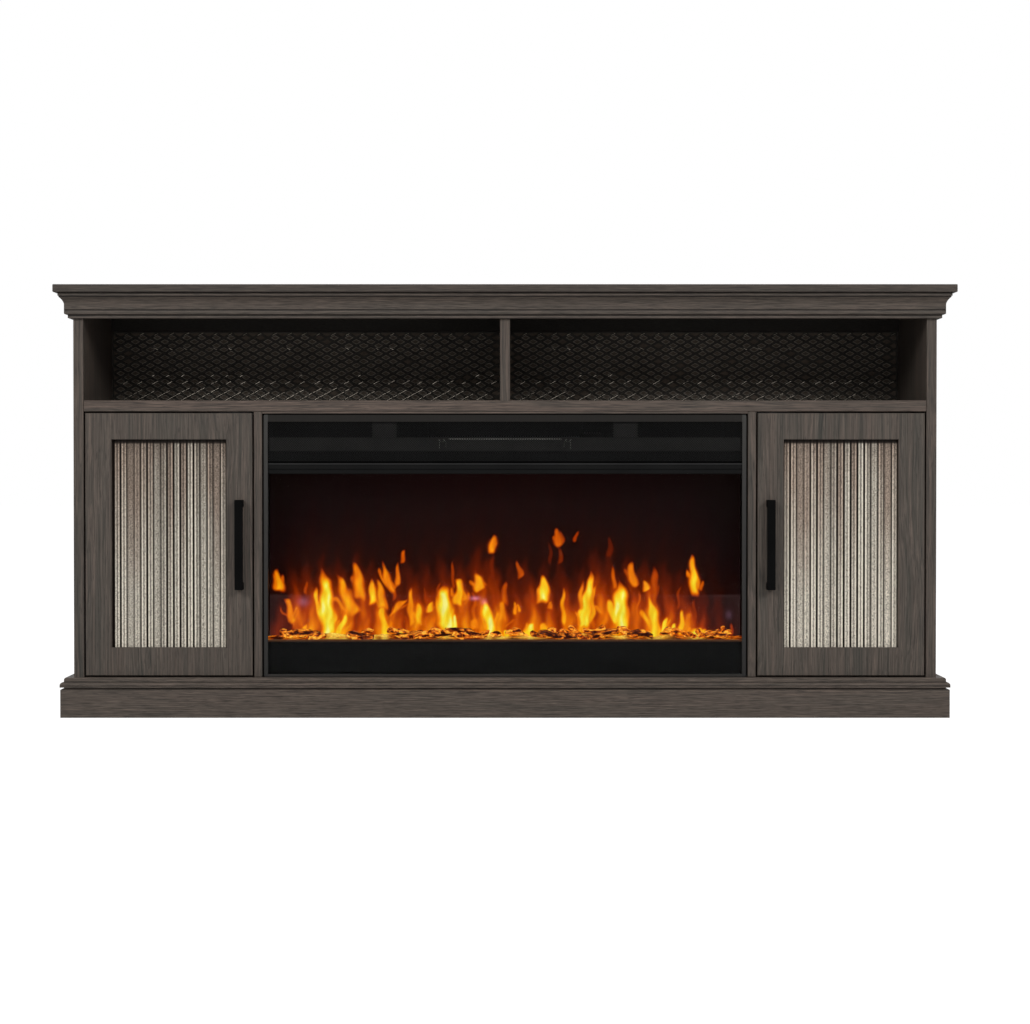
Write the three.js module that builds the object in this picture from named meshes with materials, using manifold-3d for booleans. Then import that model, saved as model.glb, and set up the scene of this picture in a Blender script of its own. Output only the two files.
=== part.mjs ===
// Fireplace TV stand: a laminated case with an open media bay above, two inset doors with reeded
// glass, and an electric fireplace insert between them.
// Millimetres, +Z up, the front faces -Y, the origin is on the floor under the middle of the case.
import * as THREE from 'three';
import { mergeGeometries, mergeVertices } from 'three/addons/utils/BufferGeometryUtils.js';
import Module from 'manifold-3d';

const wasm = await Module();
wasm.setup();

// Driving dimensions of the whole stand
const totalWidth = 1778;
const totalDepth = 420;
const topOverhang = 35;
const mediaBayHeight = 212;
const lowerBayHeight = 526.5;
const insertBayWidth = 962;

// Clearances: pieces that touch keep one fit, mitres keep one saw cut, cutters overrun their stock
const fit = 0.3;
const mitreGap = 0.4;
const overrun = 5;

// Boards
const arris = 1;
const topThickness = 15;
const sideThickness = 20;
const bottomThickness = 18;
const shelfThickness = 22;
const uprightThickness = 16;
const dividerThickness = 20;
const railThickness = 18;
const backThickness = 4;
const backRailHeight = 56;
const headStripHeight = 4;
const grooveDepth = 1.5;
const cableHoleRadius = 30;
const cableHoleInset = 70;

// Mouldings: heights, and how far each stands proud of the case
const crownHeight = 50;
const crownProjection = 27;
const plinthHeight = 59.5;
const plinthProjection = 23.5;
const plinthGrooveHeight = 4;
const plinthGrooveDepth = 6.5;
const baseMouldingHeight = 19;
const baseMouldingProjection = 24.6;

// Doors
const doorThickness = 20;
const doorGap = 3.2;
const doorLip = 9;
const stileWidth = 51.8;
const topRailWidth = 52.4;
const bottomRailWidth = 55.8;
const glassRebate = 6;
const doorGlassThickness = 3.1;
const reedDepth = 1.4;
const reedCount = 17;
const retainerThickness = 5;

// Door handles: square bars with a leg at each end
const handleLength = 177.5;
const handleWidth = 16;
const handleThickness = 9;
const handleLeg = 14;
const handleProjection = 28;
const handleEdgeInset = 24.8;
const handleTopDrop = 171.8;
const handleFillet = 2;
const handleArris = 0.8;

// Concealed hinges
const hingeInset = 75;
const cupRadius = 17.5;
const cupDepth = 11.5;
const cupWall = 1.2;
const cupEdgeDistance = 5;
const wingWidth = 16;
const wingHeight = 56;
const wingThickness = 1.2;
const wingCorner = 3;
const armHeight = 14;
const armLength = 74;
const armRoot = 20;
const armCrank = 34;
const noseIntrusion = 4;
const noseNear = 21.5;
const noseLength = 12;
const mountThickness = 11;
const mountHeight = 44;
const mountLength = 46;

// Adjustable shelves behind the doors, on pins in rows of holes
const cabinetShelfThickness = 16;
const cabinetShelfTop = 340;
const cabinetShelfSetback = 34;
const pinRadius = 2.5;
const pinReach = 8;
const pinHoleDepth = 10;
const pinInset = 45;
const pinPitch = 64;

// Expanded metal across the back of the media bay
const meshThickness = 1.5;
const meshRim = 2;
const meshStrand = 3.4;
const meshCellWidth = 69.3;
const meshCellHeight = 30.3;

// Fireplace insert
const insertSideGap = 3;
const insertHeadGap = 2.2;
const insertDepth = 192;
const insertRecess = 1.5;
const frameSideBar = 8.5;
const frameTopBar = 14.8;
const frameBottomBar = 5.8;
const frameCorner = 3;
const frameLip = 3;
const frameDepth = 12;
const frameWall = 3.2;
const housingInset = 1;
const sheet = 1.5;
const frontGlassThickness = 4;
const glassSetback = 3;
const fasciaHeight = 73.8;
const fasciaSheet = 1.2;
const trimHeight = 22;
const trimTopBelowFrame = 95.8;
const trimSlotDepth = 8;
const outletMeshThickness = 1.2;
const outletMeshStrand = 2.6;
const outletCellWidth = 67.3;
const outletCellHeight = 42.8;
const deflectorHeight = 30;
const deflectorBelowFrame = 41.8;
const deflectorSetback = 5;
const deflectorReturn = 10;
const tabWidth = 48;
const tabOffset = 239;
const wireRadius = 1.3;
const wireSpan = 262;
const wireShoulder = 14;
const wireRise = 22;
const deckBelowTrim = 16;

// Flame picture: screen, ember bed, turning reflector, lamps
const screenSetback = 104;
const screenThickness = 3;
const emberFront = 14;
const emberBack = 92;
const emberCrest = 20;
const emberSwellShare = 0.6;
const emberRippleShare = 0.2;
const emberWaves = { long: 29, short: 47, across: 9 };
const emberChips = 13;
const emberColumns = 32;
const emberRows = 4;
const chipLength = 62;
const chipRadius = 8;
const chipTaperShare = 0.7;
const chipSpreadShare = 0.15;
const chipAngles = { pitch: 0.22, roll: 0.12, yaw: 0.5 };
const chipScatter = { pitch: 5, roll: 3, yaw: 7, across: 11 };
const reflectorBehindScreen = 36;
const reflectorRise = 96;
const reflectorShaftRadius = 3;
const reflectorBladeWidth = 34;
const reflectorBladeLength = 26;
const reflectorBladeThickness = 1;
const reflectorBlades = 16;
const reflectorBladeTurn = Math.PI / 3;
const reflectorEndClearance = 20;
const bearingClearance = 0.5;
const bearingRadius = 9;
const bearingLength = 10;
const reflectorMotorRadius = 24;
const reflectorMotorLength = 20;
const lampBoardWidth = 18;
const lampBoardThickness = 1.6;
const lampSize = 5;
const lampCount = 12;

// Fan heater above the flame picture
const wheelLength = 300;
const wheelRadius = 30;
const wheelBladeDepth = 8;
const wheelBladeThickness = 1.4;
const wheelBladeBow = 2.4;
const wheelBladeSteps = 3;
const wheelBlades = 12;
const wheelDiscThickness = 2;
const wheelShaftRadius = 3;
const wheelSetback = 112;
const wheelGap = 5;
const scrollGrowth = 8;
const scrollStartAngle = Math.PI * 0.45;
const scrollSweepAngle = Math.PI * 0.95;
const scrollSheet = 1.5;
const fanPlateDepth = 90;
const fanMotorRadius = 22;
const fanMotorLength = 38;
const heaterWidth = 300;
const heaterHeight = 36;
const heaterDepth = 16;
const heaterSetback = 28;
const heaterFinGaps = 10;
const heaterRows = 2;
const heaterBar = 4;

// Back of the insert: louvres and the gland that the lead would leave by
const louvreWidth = 70;
const louvreColumnPitch = 98;
const louvreHeight = 5;
const louvrePitch = 12;
const louvreRows = 6;
const louvreColumns = 5;
const louvreTopInset = 20;
const glandRadius = 9;
const glandLength = 12;
const glandBore = 3.5;
const glandInset = 60;

// Steps of the round stretches
const arcSteps = 5;
const roundSides = 20;
const smallSides = 10;

// Planes that the pieces share
const sideOuterX = totalWidth / 2 - topOverhang;
const sideInnerX = sideOuterX - sideThickness;
const uprightInnerX = insertBayWidth / 2;
const uprightOuterX = uprightInnerX + uprightThickness;
const caseFrontY = topOverhang - totalDepth / 2;
const caseBackY = totalDepth / 2;
const boardBackY = caseBackY - backThickness - fit;
const bottomTopZ = plinthHeight + baseMouldingHeight;
const bottomUnderZ = bottomTopZ - bottomThickness;
const shelfUnderZ = bottomTopZ + lowerBayHeight;
const shelfTopZ = shelfUnderZ + shelfThickness;
const topUnderZ = shelfTopZ + mediaBayHeight;
const backJointZ = (shelfUnderZ + shelfTopZ) / 2;
const meshBackY = boardBackY;
const meshFrontY = meshBackY - meshThickness;

const doorInnerX = uprightOuterX + doorGap;
const doorOuterX = sideInnerX - doorGap;
const doorBottomZ = bottomTopZ + doorGap;
const doorTopZ = shelfUnderZ - doorGap;
const doorBackY = caseFrontY + doorThickness;
const windowX = [doorInnerX + stileWidth, doorOuterX - stileWidth];
const windowZ = [doorBottomZ + bottomRailWidth, doorTopZ - topRailWidth];
const cupCentreX = doorOuterX - cupEdgeDistance - cupRadius;
const hingeHeights = { lower: doorBottomZ + hingeInset, upper: doorTopZ - hingeInset };

const insertHalf = uprightInnerX - insertSideGap;
const insertFrontY = caseFrontY + insertRecess;
const insertBottomZ = bottomTopZ + fit;
const insertTopZ = shelfUnderZ - headStripHeight - insertHeadGap;
const frameInnerX = insertHalf - frameSideBar;
const frameInnerZ = [insertBottomZ + frameBottomBar, insertTopZ - frameTopBar];
const frameBackY = insertFrontY + frameDepth;
const lipBackY = insertFrontY + frameLip + fit;
const rebateX = insertHalf - frameWall;
const rebateZ = [insertBottomZ + frameWall, insertTopZ - frameWall];
const glassFrontY = lipBackY + glassSetback;
const glassBackY = glassFrontY + frontGlassThickness;
const trimTopZ = insertTopZ - trimTopBelowFrame;
const trimZ = [trimTopZ - trimHeight, trimTopZ];
const fasciaTopZ = insertBottomZ + fasciaHeight;
const housingFrontY = frameBackY + fit;
const housingBackY = insertFrontY + insertDepth;
const housingOuterX = insertHalf - housingInset;
const housingInnerX = housingOuterX - sheet;
const housingZ = [insertBottomZ + housingInset, insertTopZ - housingInset];
const deckZ = [trimTopZ - deckBelowTrim, trimTopZ - deckBelowTrim + sheet];
const innerFloorZ = housingZ[0] + sheet;
const innerCeilingZ = housingZ[1] - sheet;
const deckTopZ = deckZ[1] + fit;
const screenY = insertFrontY + screenSetback;

// Finishes
const woodFinish = finish(0x6a625b, 0.55, 0);
const woodEdgeFinish = finish(0x75695f, 0.55, 0);
const darkBoardFinish = finish(0x3b342f, 0.6, 0);
const blackMetalFinish = finish(0x17181a, 0.45, 0.6);
const charcoalFinish = finish(0x3a3c3d, 0.35, 0.6);
const steelFinish = finish(0x8f9092, 0.35, 0.9);
const glassFinish = finish(0xcfc8bf, 0.15, 0);
const darkGlassFinish = finish(0x131214, 0.1, 0);
const emberFinish = finish(0x8a3510, 0.7, 0);
const plasticFinish = finish(0x232323, 0.5, 0);
const ceramicFinish = finish(0xb8b2a4, 0.6, 0.1);

function finish(color, roughness, metalness) {
  return { color, roughness, metalness };
}

const stand = new THREE.Group();

// Adds one named piece with a material of its own.
function addPiece(name, geometry, look) {
  const piece = new THREE.Mesh(geometry, new THREE.MeshStandardMaterial(look));
  piece.name = name;
  stand.add(piece);
}

// A closed mesh as a solid that can be joined and cut.
function toSolid(geometry) {
  const bare = geometry.clone();
  bare.deleteAttribute('normal');
  bare.deleteAttribute('uv');
  const merged = mergeVertices(bare);
  return new wasm.Manifold(new wasm.Mesh({
    numProp: 3,
    vertProperties: new Float32Array(merged.attributes.position.array),
    triVerts: new Uint32Array(merged.index.array),
  }));
}

function toGeometry(solid) {
  const { vertProperties, triVerts } = solid.getMesh();
  const geometry = new THREE.BufferGeometry();
  geometry.setAttribute('position', new THREE.BufferAttribute(vertProperties, 3));
  geometry.setIndex(new THREE.BufferAttribute(triVerts, 1));
  const flat = geometry.toNonIndexed();
  flat.computeVertexNormals();
  return flat;
}

function join(first, ...others) {
  return toGeometry(others.reduce((solid, other) => solid.add(toSolid(other)), toSolid(first)));
}

function cut(first, ...cutters) {
  return toGeometry(cutters.reduce((solid, cutter) => solid.subtract(toSolid(cutter)), toSolid(first)));
}

// The low and high end of a stretch in X on the left (-1) or right (+1) side.
function span(side, near, far) {
  return side > 0 ? [near, far] : [-far, -near];
}

function middle(range) {
  return (range[0] + range[1]) / 2;
}

function grown(range, amount) {
  return [range[0] - amount, range[1] + amount];
}

// A sharp-edged block between two values on each axis.
function block(x, y, z) {
  const geometry = new THREE.BoxGeometry(x[1] - x[0], y[1] - y[0], z[1] - z[0]);
  geometry.translate(middle(x), middle(y), middle(z));
  return geometry;
}

// Extrudes a shape along an axis. It is drawn in (y, z) for x, in (x, z) for y and in (x, y) for z.
function extrude(shape, axis, range, edge = 0) {
  const geometry = new THREE.ExtrudeGeometry(shape, {
    depth: range[1] - range[0] - 2 * edge,
    bevelEnabled: edge > 0,
    bevelThickness: edge,
    bevelSize: edge,
    bevelOffset: -edge,
    bevelSegments: 1,
    curveSegments: arcSteps,
  });
  geometry.translate(0, 0, edge);
  if (axis === 'x') {
    geometry.applyMatrix4(new THREE.Matrix4().set(0, 0, 1, range[0], 1, 0, 0, 0, 0, 1, 0, 0, 0, 0, 0, 1));
  } else if (axis === 'y') {
    geometry.applyMatrix4(new THREE.Matrix4().set(1, 0, 0, 0, 0, 0, -1, range[1], 0, 1, 0, 0, 0, 0, 0, 1));
  } else {
    geometry.translate(0, 0, range[0]);
  }
  return geometry;
}

function polygon(points) {
  return new THREE.Shape(points.map(([u, v]) => new THREE.Vector2(u, v)));
}

function rectangle(u, v) {
  return polygon([[u[0], v[0]], [u[1], v[0]], [u[1], v[1]], [u[0], v[1]]]);
}

function roundedRectangle(u, v, radius) {
  const shape = new THREE.Shape();
  shape.absarc(u[1] - radius, v[0] + radius, radius, -Math.PI / 2, 0);
  shape.absarc(u[1] - radius, v[1] - radius, radius, 0, Math.PI / 2);
  shape.absarc(u[0] + radius, v[1] - radius, radius, Math.PI / 2, Math.PI);
  shape.absarc(u[0] + radius, v[0] + radius, radius, Math.PI, Math.PI * 1.5);
  return shape;
}

// A board whose twelve edges are eased.
function board(x, y, z, edge = arris) {
  const outline = polygon([
    [x[0] + edge, y[0]], [x[1] - edge, y[0]],
    [x[1], y[0] + edge], [x[1], y[1] - edge],
    [x[1] - edge, y[1]], [x[0] + edge, y[1]],
    [x[0], y[1] - edge], [x[0], y[0] + edge],
  ]);
  return extrude(outline, 'z', z, edge);
}

// A round bar or ring along an axis; a bore makes it a ring.
function round(axis, range, centre, radius, sides = smallSides, bore = 0) {
  const length = range[1] - range[0];
  const profile = [[bore, 0], [radius, 0], [radius, length], [bore, length]];
  if (bore > 0) {
    profile.push([bore, 0]);
  }
  const geometry = new THREE.LatheGeometry(profile.map(([r, h]) => new THREE.Vector2(r, h)), sides);
  if (axis === 'x') {
    geometry.rotateZ(-Math.PI / 2);
    geometry.translate(range[0], centre[0], centre[1]);
  } else {
    geometry.translate(centre[0], range[0], centre[1]);
  }
  return geometry;
}

// Runs an outline from one place to another; each place is a function of the outline's point.
function loft(drawn, startPlace, endPlace) {
  const flat = drawn.map(([u, v]) => new THREE.Vector2(u, v));
  const clockwise = THREE.ShapeUtils.isClockWise(flat);
  const outline = clockwise ? [...drawn].reverse() : drawn;
  const count = outline.length;
  const positions = [...outline.map(startPlace), ...outline.map(endPlace)].flat();
  const cap = THREE.ShapeUtils.triangulateShape(clockwise ? flat.reverse() : flat, []);
  const faces = cap.flatMap(([a, b, c]) => [[a, b, c], [c + count, b + count, a + count]]);
  for (let i = 0; i < count; i += 1) {
    const next = (i + 1) % count;
    faces.push([next, i, i + count], [next, i + count, next + count]);
  }
  return closedMesh(positions, faces);
}

// A mesh from points and triangles, turned so that its faces point out.
function closedMesh(positions, faces) {
  const corner = (index) => new THREE.Vector3().fromArray(positions, index * 3);
  const volume = faces.reduce((sum, [a, b, c]) => sum + corner(a).dot(corner(b).cross(corner(c))), 0);
  const outward = volume > 0 ? faces : faces.map(([a, b, c]) => [a, c, b]);
  const geometry = new THREE.BufferGeometry();
  geometry.setAttribute('position', new THREE.Float32BufferAttribute(positions, 3));
  geometry.setIndex(outward.flat());
  const flat = geometry.toNonIndexed();
  flat.computeVertexNormals();
  return flat;
}

// Outline points of a drawn path, without the repeated ones.
function outlinePoints(path) {
  const points = path.getPoints(arcSteps).map((point) => [point.x, point.y]);
  return points.filter(([u, v], i) => {
    const [lastU, lastV] = points[(i + points.length - 1) % points.length];
    return Math.hypot(u - lastU, v - lastV) > Number.EPSILON * totalWidth;
  });
}

// Draws a moulding's section from one height to another. Each entry holds pairs of shares, of the
// projection and of the height: one pair is a straight run to it, two are a curve's pull and its end.
function mouldingOutline(sectionShares, projection, startZ, endZ) {
  const place = ([out, along]) => [out * projection, THREE.MathUtils.lerp(startZ, endZ, along)];
  const path = new THREE.Path();
  path.moveTo(fit, startZ);
  for (const [first, second] of sectionShares) {
    if (second) {
      path.quadraticCurveTo(...place(first), ...place(second));
    } else {
      path.lineTo(...place(first));
    }
  }
  path.lineTo(fit, endZ);
  return outlinePoints(path);
}

// The crown from the top board down: fillet, cavetto, quirk, bead, a second quirk and the lower fillet.
const crownShares = [
  [[1, 0]],
  [[1, 0.13]],
  [[0.93, 0.16]],
  [[0.62, 0.3], [0.58, 0.5]],
  [[0.58, 0.65]],
  [[0.54, 0.66]],
  [[0.54, 0.685]],
  [[0.59, 0.7]],
  [[0.61, 0.78], [0.47, 0.83]],
  [[0.4, 0.865]],
  [[0.34, 0.87]],
  [[0.34, 0.89]],
  [[0.38, 0.905]],
  [[0.38, 1]],
];

// The base moulding from its foot up: a thumb edge, a quirk and a step that covers the bottom board's edge.
const baseMouldingShares = [
  [[1, 0]],
  [[1, 0.34]],
  [[0.98, 0.46], [0.84, 0.56]],
  [[0.72, 0.6]],
  [[0.66, 0.61]],
  [[0.66, 0.64]],
  [[0.69, 0.66]],
  [[0.69, 0.87]],
  [[0.62, 1]],
];

// The plinth board, with the shadow groove along its top.
function plinthOutline() {
  const grooveZ = plinthHeight - plinthGrooveHeight;
  return [
    [fit, 0],
    [plinthProjection, 0],
    [plinthProjection, grooveZ],
    [plinthProjection - plinthGrooveDepth, grooveZ],
    [plinthProjection - plinthGrooveDepth, plinthHeight],
    [fit, plinthHeight],
  ];
}

// Wraps a moulding round the front and both ends of the case, mitred at the front corners.
function addMoulding(name, outline, look) {
  const frontY = (offset) => caseFrontY - offset;
  addPiece(`${name}_front`, loft(
    outline,
    ([offset, z]) => [-sideOuterX - offset, frontY(offset), z],
    ([offset, z]) => [sideOuterX + offset, frontY(offset), z],
  ), look);
  for (const [end, side] of [['left', -1], ['right', 1]]) {
    addPiece(`${name}_${end}`, loft(
      outline,
      ([offset, z]) => [side * (sideOuterX + offset), frontY(offset) + mitreGap, z],
      ([offset, z]) => [side * (sideOuterX + offset), caseBackY, z],
    ), look);
  }
}

// Shelf pins and the spare holes above and below them, on the face that looks along `inward`.
function withShelfPins(panel, faceX, inward) {
  const shelfUnder = cabinetShelfTop - cabinetShelfThickness;
  const pinZ = shelfUnder - fit - pinRadius;
  const rows = [caseFrontY + cabinetShelfSetback + pinInset, boardBackY - pinInset];
  const along = (depth, reach) => span(inward, -depth, reach).map((x) => x + faceX);
  const pins = rows.map((y) => round('x', along(overrun, pinReach), [y, pinZ], pinRadius));
  const holes = rows.flatMap((y) => [-1, 1].map((step) => (
    round('x', along(pinHoleDepth, overrun), [y, pinZ + step * pinPitch], pinRadius)
  )));
  return join(cut(panel, ...holes), ...pins);
}

// The case: ends, shelves, uprights, rails, divider and backs.
function addCase() {
  const insideX = [-sideInnerX + fit, sideInnerX - fit];
  const boardY = [caseFrontY, boardBackY];

  addPiece('top_board', board(
    [-totalWidth / 2, totalWidth / 2],
    [-totalDepth / 2, totalDepth / 2],
    [topUnderZ, topUnderZ + topThickness],
  ), woodFinish);
  addPiece('bottom_board', board(insideX, boardY, [bottomUnderZ, bottomTopZ]), woodFinish);
  addPiece('media_shelf', mediaShelf(insideX, boardY), woodEdgeFinish);

  for (const [end, side] of [['left', -1], ['right', 1]]) {
    const panel = board(span(side, sideInnerX, sideOuterX), [caseFrontY, caseBackY], [0, topUnderZ - fit]);
    addPiece(`side_panel_${end}`, withShelfPins(panel, side * sideInnerX, -side), woodFinish);
    const uprightZ = [bottomTopZ + fit, shelfUnderZ - fit];
    const upright = board(span(side, uprightInnerX, uprightOuterX), boardY, uprightZ);
    addPiece(`inner_upright_${end}`, withShelfPins(upright, side * uprightOuterX, side), woodFinish);
    addPiece(`cabinet_shelf_${end}`, board(
      span(side, uprightOuterX + fit, sideInnerX - fit),
      [caseFrontY + cabinetShelfSetback, boardBackY],
      [cabinetShelfTop - cabinetShelfThickness, cabinetShelfTop],
    ), woodFinish);
    const backX = span(side, uprightInnerX, sideInnerX - fit);
    const cableHole = round(
      'y',
      grown([boardBackY, caseBackY], overrun),
      [side * (uprightOuterX + cableHoleInset), shelfUnderZ - cableHoleInset],
      cableHoleRadius,
      roundSides,
    );
    addPiece(`back_panel_${end}`, cut(
      block(backX, [boardBackY + fit, caseBackY], [bottomUnderZ, backJointZ - fit]),
      cableHole,
    ), darkBoardFinish);
  }

  addPiece('back_panel_upper', block(
    insideX,
    [boardBackY + fit, caseBackY],
    [backJointZ, topUnderZ - fit],
  ), darkBoardFinish);
  addPiece('back_rail', block(
    insideX,
    [boardBackY - railThickness, boardBackY],
    [topUnderZ - backRailHeight, topUnderZ - fit],
  ), darkBoardFinish);
  addPiece('top_rail_front', block(
    insideX,
    [caseFrontY, caseFrontY + railThickness],
    [topUnderZ - crownHeight, topUnderZ - fit],
  ), woodFinish);
  addPiece('insert_head_strip', block(
    [-uprightInnerX + fit, uprightInnerX - fit],
    [caseFrontY, caseFrontY + railThickness],
    [shelfUnderZ - headStripHeight, shelfUnderZ - fit],
  ), woodEdgeFinish);
  addPiece('toe_rail_front', block(
    insideX,
    [caseFrontY, caseFrontY + railThickness],
    [0, bottomUnderZ - fit],
  ), woodFinish);
  addPiece('toe_rail_back', block(
    insideX,
    [boardBackY - railThickness, boardBackY],
    [0, bottomUnderZ - fit],
  ), woodFinish);
  addPiece('media_divider', mediaDivider(), woodFinish);
  addPiece('mesh_panel', diamondMesh(
    insideX,
    [meshFrontY, meshBackY],
    [shelfTopZ - grooveDepth + fit, topUnderZ - backRailHeight - fit],
    { rim: meshRim, strand: meshStrand, cellWidth: meshCellWidth, cellHeight: meshCellHeight },
  ), blackMetalFinish);
}

// The media shelf, with a groove for the divider's foot and a rebate for the mesh's lower edge.
function mediaShelf(x, y) {
  const grooveZ = [shelfTopZ - grooveDepth, shelfTopZ + overrun];
  const groove = block(
    grown([-dividerThickness / 2, dividerThickness / 2], fit),
    grown(y, overrun),
    grooveZ,
  );
  const rebate = block(grown(x, overrun), [meshFrontY - fit, boardBackY + overrun], grooveZ);
  return cut(board(x, y, [shelfUnderZ, shelfTopZ]), groove, rebate);
}

// The divider stands in the media shelf and is notched round the rails at its top corners.
function mediaDivider() {
  const frontY = caseFrontY;
  const backY = meshFrontY - fit;
  const footZ = shelfTopZ - grooveDepth + fit;
  const topZ = topUnderZ - fit;
  const frontNotch = [caseFrontY + railThickness + fit, topUnderZ - crownHeight - fit];
  const backNotch = [boardBackY - railThickness - fit, topUnderZ - backRailHeight - fit];
  const outline = polygon([
    [frontY, footZ],
    [backY, footZ],
    [backY, backNotch[1]],
    [backNotch[0], backNotch[1]],
    [backNotch[0], topZ],
    [frontNotch[0], topZ],
    [frontNotch[0], frontNotch[1]],
    [frontY, frontNotch[1]],
  ]);
  return extrude(outline, 'x', [-dividerThickness / 2, dividerThickness / 2], arris);
}

// A flat sheet of diamond mesh in a narrow rim: one lattice of diamonds runs through the corners of
// the sheet, where its edge ones are halves and quarters, and the other stands between them.
function diamondMesh(x, y, z, { rim, strand, cellWidth, cellHeight }) {
  const diamonds = [];
  const [lowX, highX] = grown(x, -rim);
  const [lowZ, highZ] = grown(z, -rim);
  const columns = Math.max(1, Math.round((highX - lowX) / cellWidth));
  const rows = Math.max(1, Math.round((highZ - lowZ) / cellHeight));
  const pitchX = (highX - lowX) / columns;
  const pitchZ = (highZ - lowZ) / rows;
  const lean = Math.hypot(pitchX, pitchZ);
  const halfX = pitchX / 2 - (strand * lean) / (2 * pitchZ);
  const halfZ = pitchZ / 2 - (strand * lean) / (2 * pitchX);
  const addDiamond = (column, row) => {
    const [centreX, centreZ] = [lowX + column * pitchX, lowZ + row * pitchZ];
    const corners = [
      [column < columns, centreX + halfX, centreZ],
      [row < rows, centreX, centreZ + halfZ],
      [column > 0, centreX - halfX, centreZ],
      [row > 0, centreX, centreZ - halfZ],
    ].filter(([inside]) => inside).map(([, u, v]) => [u, v]);
    if (corners.length === 2) {
      corners.push([centreX, centreZ]);
    }
    diamonds.push(extrude(polygon(corners), 'y', grown(y, overrun)));
  };
  for (let column = 0; column <= columns; column += 1) {
    for (let row = 0; row <= rows; row += 1) {
      addDiamond(column, row);
      if (column < columns && row < rows) {
        addDiamond(column + 0.5, row + 0.5);
      }
    }
  }
  return cut(block(x, y, z), mergeGeometries(diamonds));
}

// One door with its glass, glass retainer, handle and two hinges.
function addDoor(end, side) {
  const doorX = span(side, doorInnerX, doorOuterX);
  const glassX = span(side, windowX[0], windowX[1]);
  const rebateY = caseFrontY + doorLip;
  const rebateOuterX = grown(glassX, glassRebate);
  const rebateOuterZ = grown(windowZ, glassRebate);

  const outline = rectangle(doorX, [doorBottomZ, doorTopZ]);
  outline.holes.push(rectangle(glassX, windowZ));
  const slab = extrude(outline, 'y', [caseFrontY, doorBackY], arris);
  const rebate = block(rebateOuterX, [rebateY, doorBackY + overrun], rebateOuterZ);
  const bores = Object.values(hingeHeights).map((z) => round(
    'y',
    [doorBackY - cupDepth - fit, doorBackY + overrun],
    [side * cupCentreX, z],
    cupRadius + fit,
    roundSides,
  ));
  addPiece(`door_${end}`, cut(slab, rebate, ...bores), woodFinish);

  const paneY = [rebateY + fit, rebateY + fit + reedDepth + doorGlassThickness];
  const pane = reededPane(grown(rebateOuterX, -fit), glassX, paneY);
  addPiece(`door_glass_${end}`, extrude(pane, 'z', grown(rebateOuterZ, -fit)), glassFinish);

  const retainer = rectangle(grown(rebateOuterX, -fit), grown(rebateOuterZ, -fit));
  retainer.holes.push(rectangle(glassX, windowZ));
  const retainerY = [paneY[1] + fit, paneY[1] + fit + retainerThickness];
  addPiece(`glass_retainer_${end}`, extrude(retainer, 'y', retainerY), plasticFinish);

  addPiece(`handle_${end}`, doorHandle(side), blackMetalFinish);
  for (const [level, z] of Object.entries(hingeHeights)) {
    addPiece(`hinge_cup_${end}_${level}`, hingeCup(side, z), steelFinish);
    addPiece(`hinge_arm_${end}_${level}`, hingeArm(side, z), steelFinish);
  }
}

// Plan outline of a pane with round reeds on its front, and plain margins behind the door's lip.
function reededPane(paneX, reedX, paneY) {
  const valleyY = paneY[0] + reedDepth;
  const pitch = (reedX[1] - reedX[0]) / reedCount;
  const points = [[paneX[0], paneY[1]], [paneX[0], valleyY]];
  const steps = arcSteps - 1;
  for (let step = 0; step <= reedCount * steps; step += 1) {
    const rise = Math.sin((Math.PI * (step % steps)) / steps);
    points.push([reedX[0] + (step * pitch) / steps, valleyY - reedDepth * rise]);
  }
  points.push([paneX[1], valleyY], [paneX[1], paneY[1]]);
  return polygon(points);
}

// A square bar on two legs, seen from the side, with small fillets inside.
function doorHandle(side) {
  const topZ = doorTopZ - handleTopDrop;
  const z = [topZ - handleLength, topZ];
  const footY = caseFrontY - fit;
  const frontY = caseFrontY - handleProjection;
  const innerY = frontY + handleThickness;
  const legZ = grown(z, -handleLeg);
  const shape = new THREE.Shape();
  shape.moveTo(frontY, z[0]);
  shape.lineTo(footY, z[0]);
  shape.lineTo(footY, legZ[0]);
  shape.lineTo(innerY + handleFillet, legZ[0]);
  shape.quadraticCurveTo(innerY, legZ[0], innerY, legZ[0] + handleFillet);
  shape.lineTo(innerY, legZ[1] - handleFillet);
  shape.quadraticCurveTo(innerY, legZ[1], innerY + handleFillet, legZ[1]);
  shape.lineTo(footY, legZ[1]);
  shape.lineTo(footY, z[1]);
  shape.lineTo(frontY, z[1]);
  const innerX = doorInnerX + handleEdgeInset - handleWidth / 2;
  return extrude(shape, 'x', span(side, innerX, innerX + handleWidth), handleArris);
}

// The pan that sits in the door, with the wings that screw to its back.
function hingeCup(side, z) {
  const backY = doorBackY + fit + wingThickness;
  const centre = [side * cupCentreX, z];
  const pan = round('y', [doorBackY - cupDepth, backY], centre, cupRadius, roundSides);
  const wings = extrude(roundedRectangle(
    [centre[0] - wingWidth / 2, centre[0] + wingWidth / 2],
    [z - wingHeight / 2, z + wingHeight / 2],
    wingCorner,
  ), 'y', [doorBackY + fit, backY]);
  const hollowY = [doorBackY - cupDepth + cupWall, backY + overrun];
  const hollow = round('y', hollowY, centre, cupRadius - cupWall, roundSides);
  return cut(join(pan, wings), hollow);
}

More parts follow.
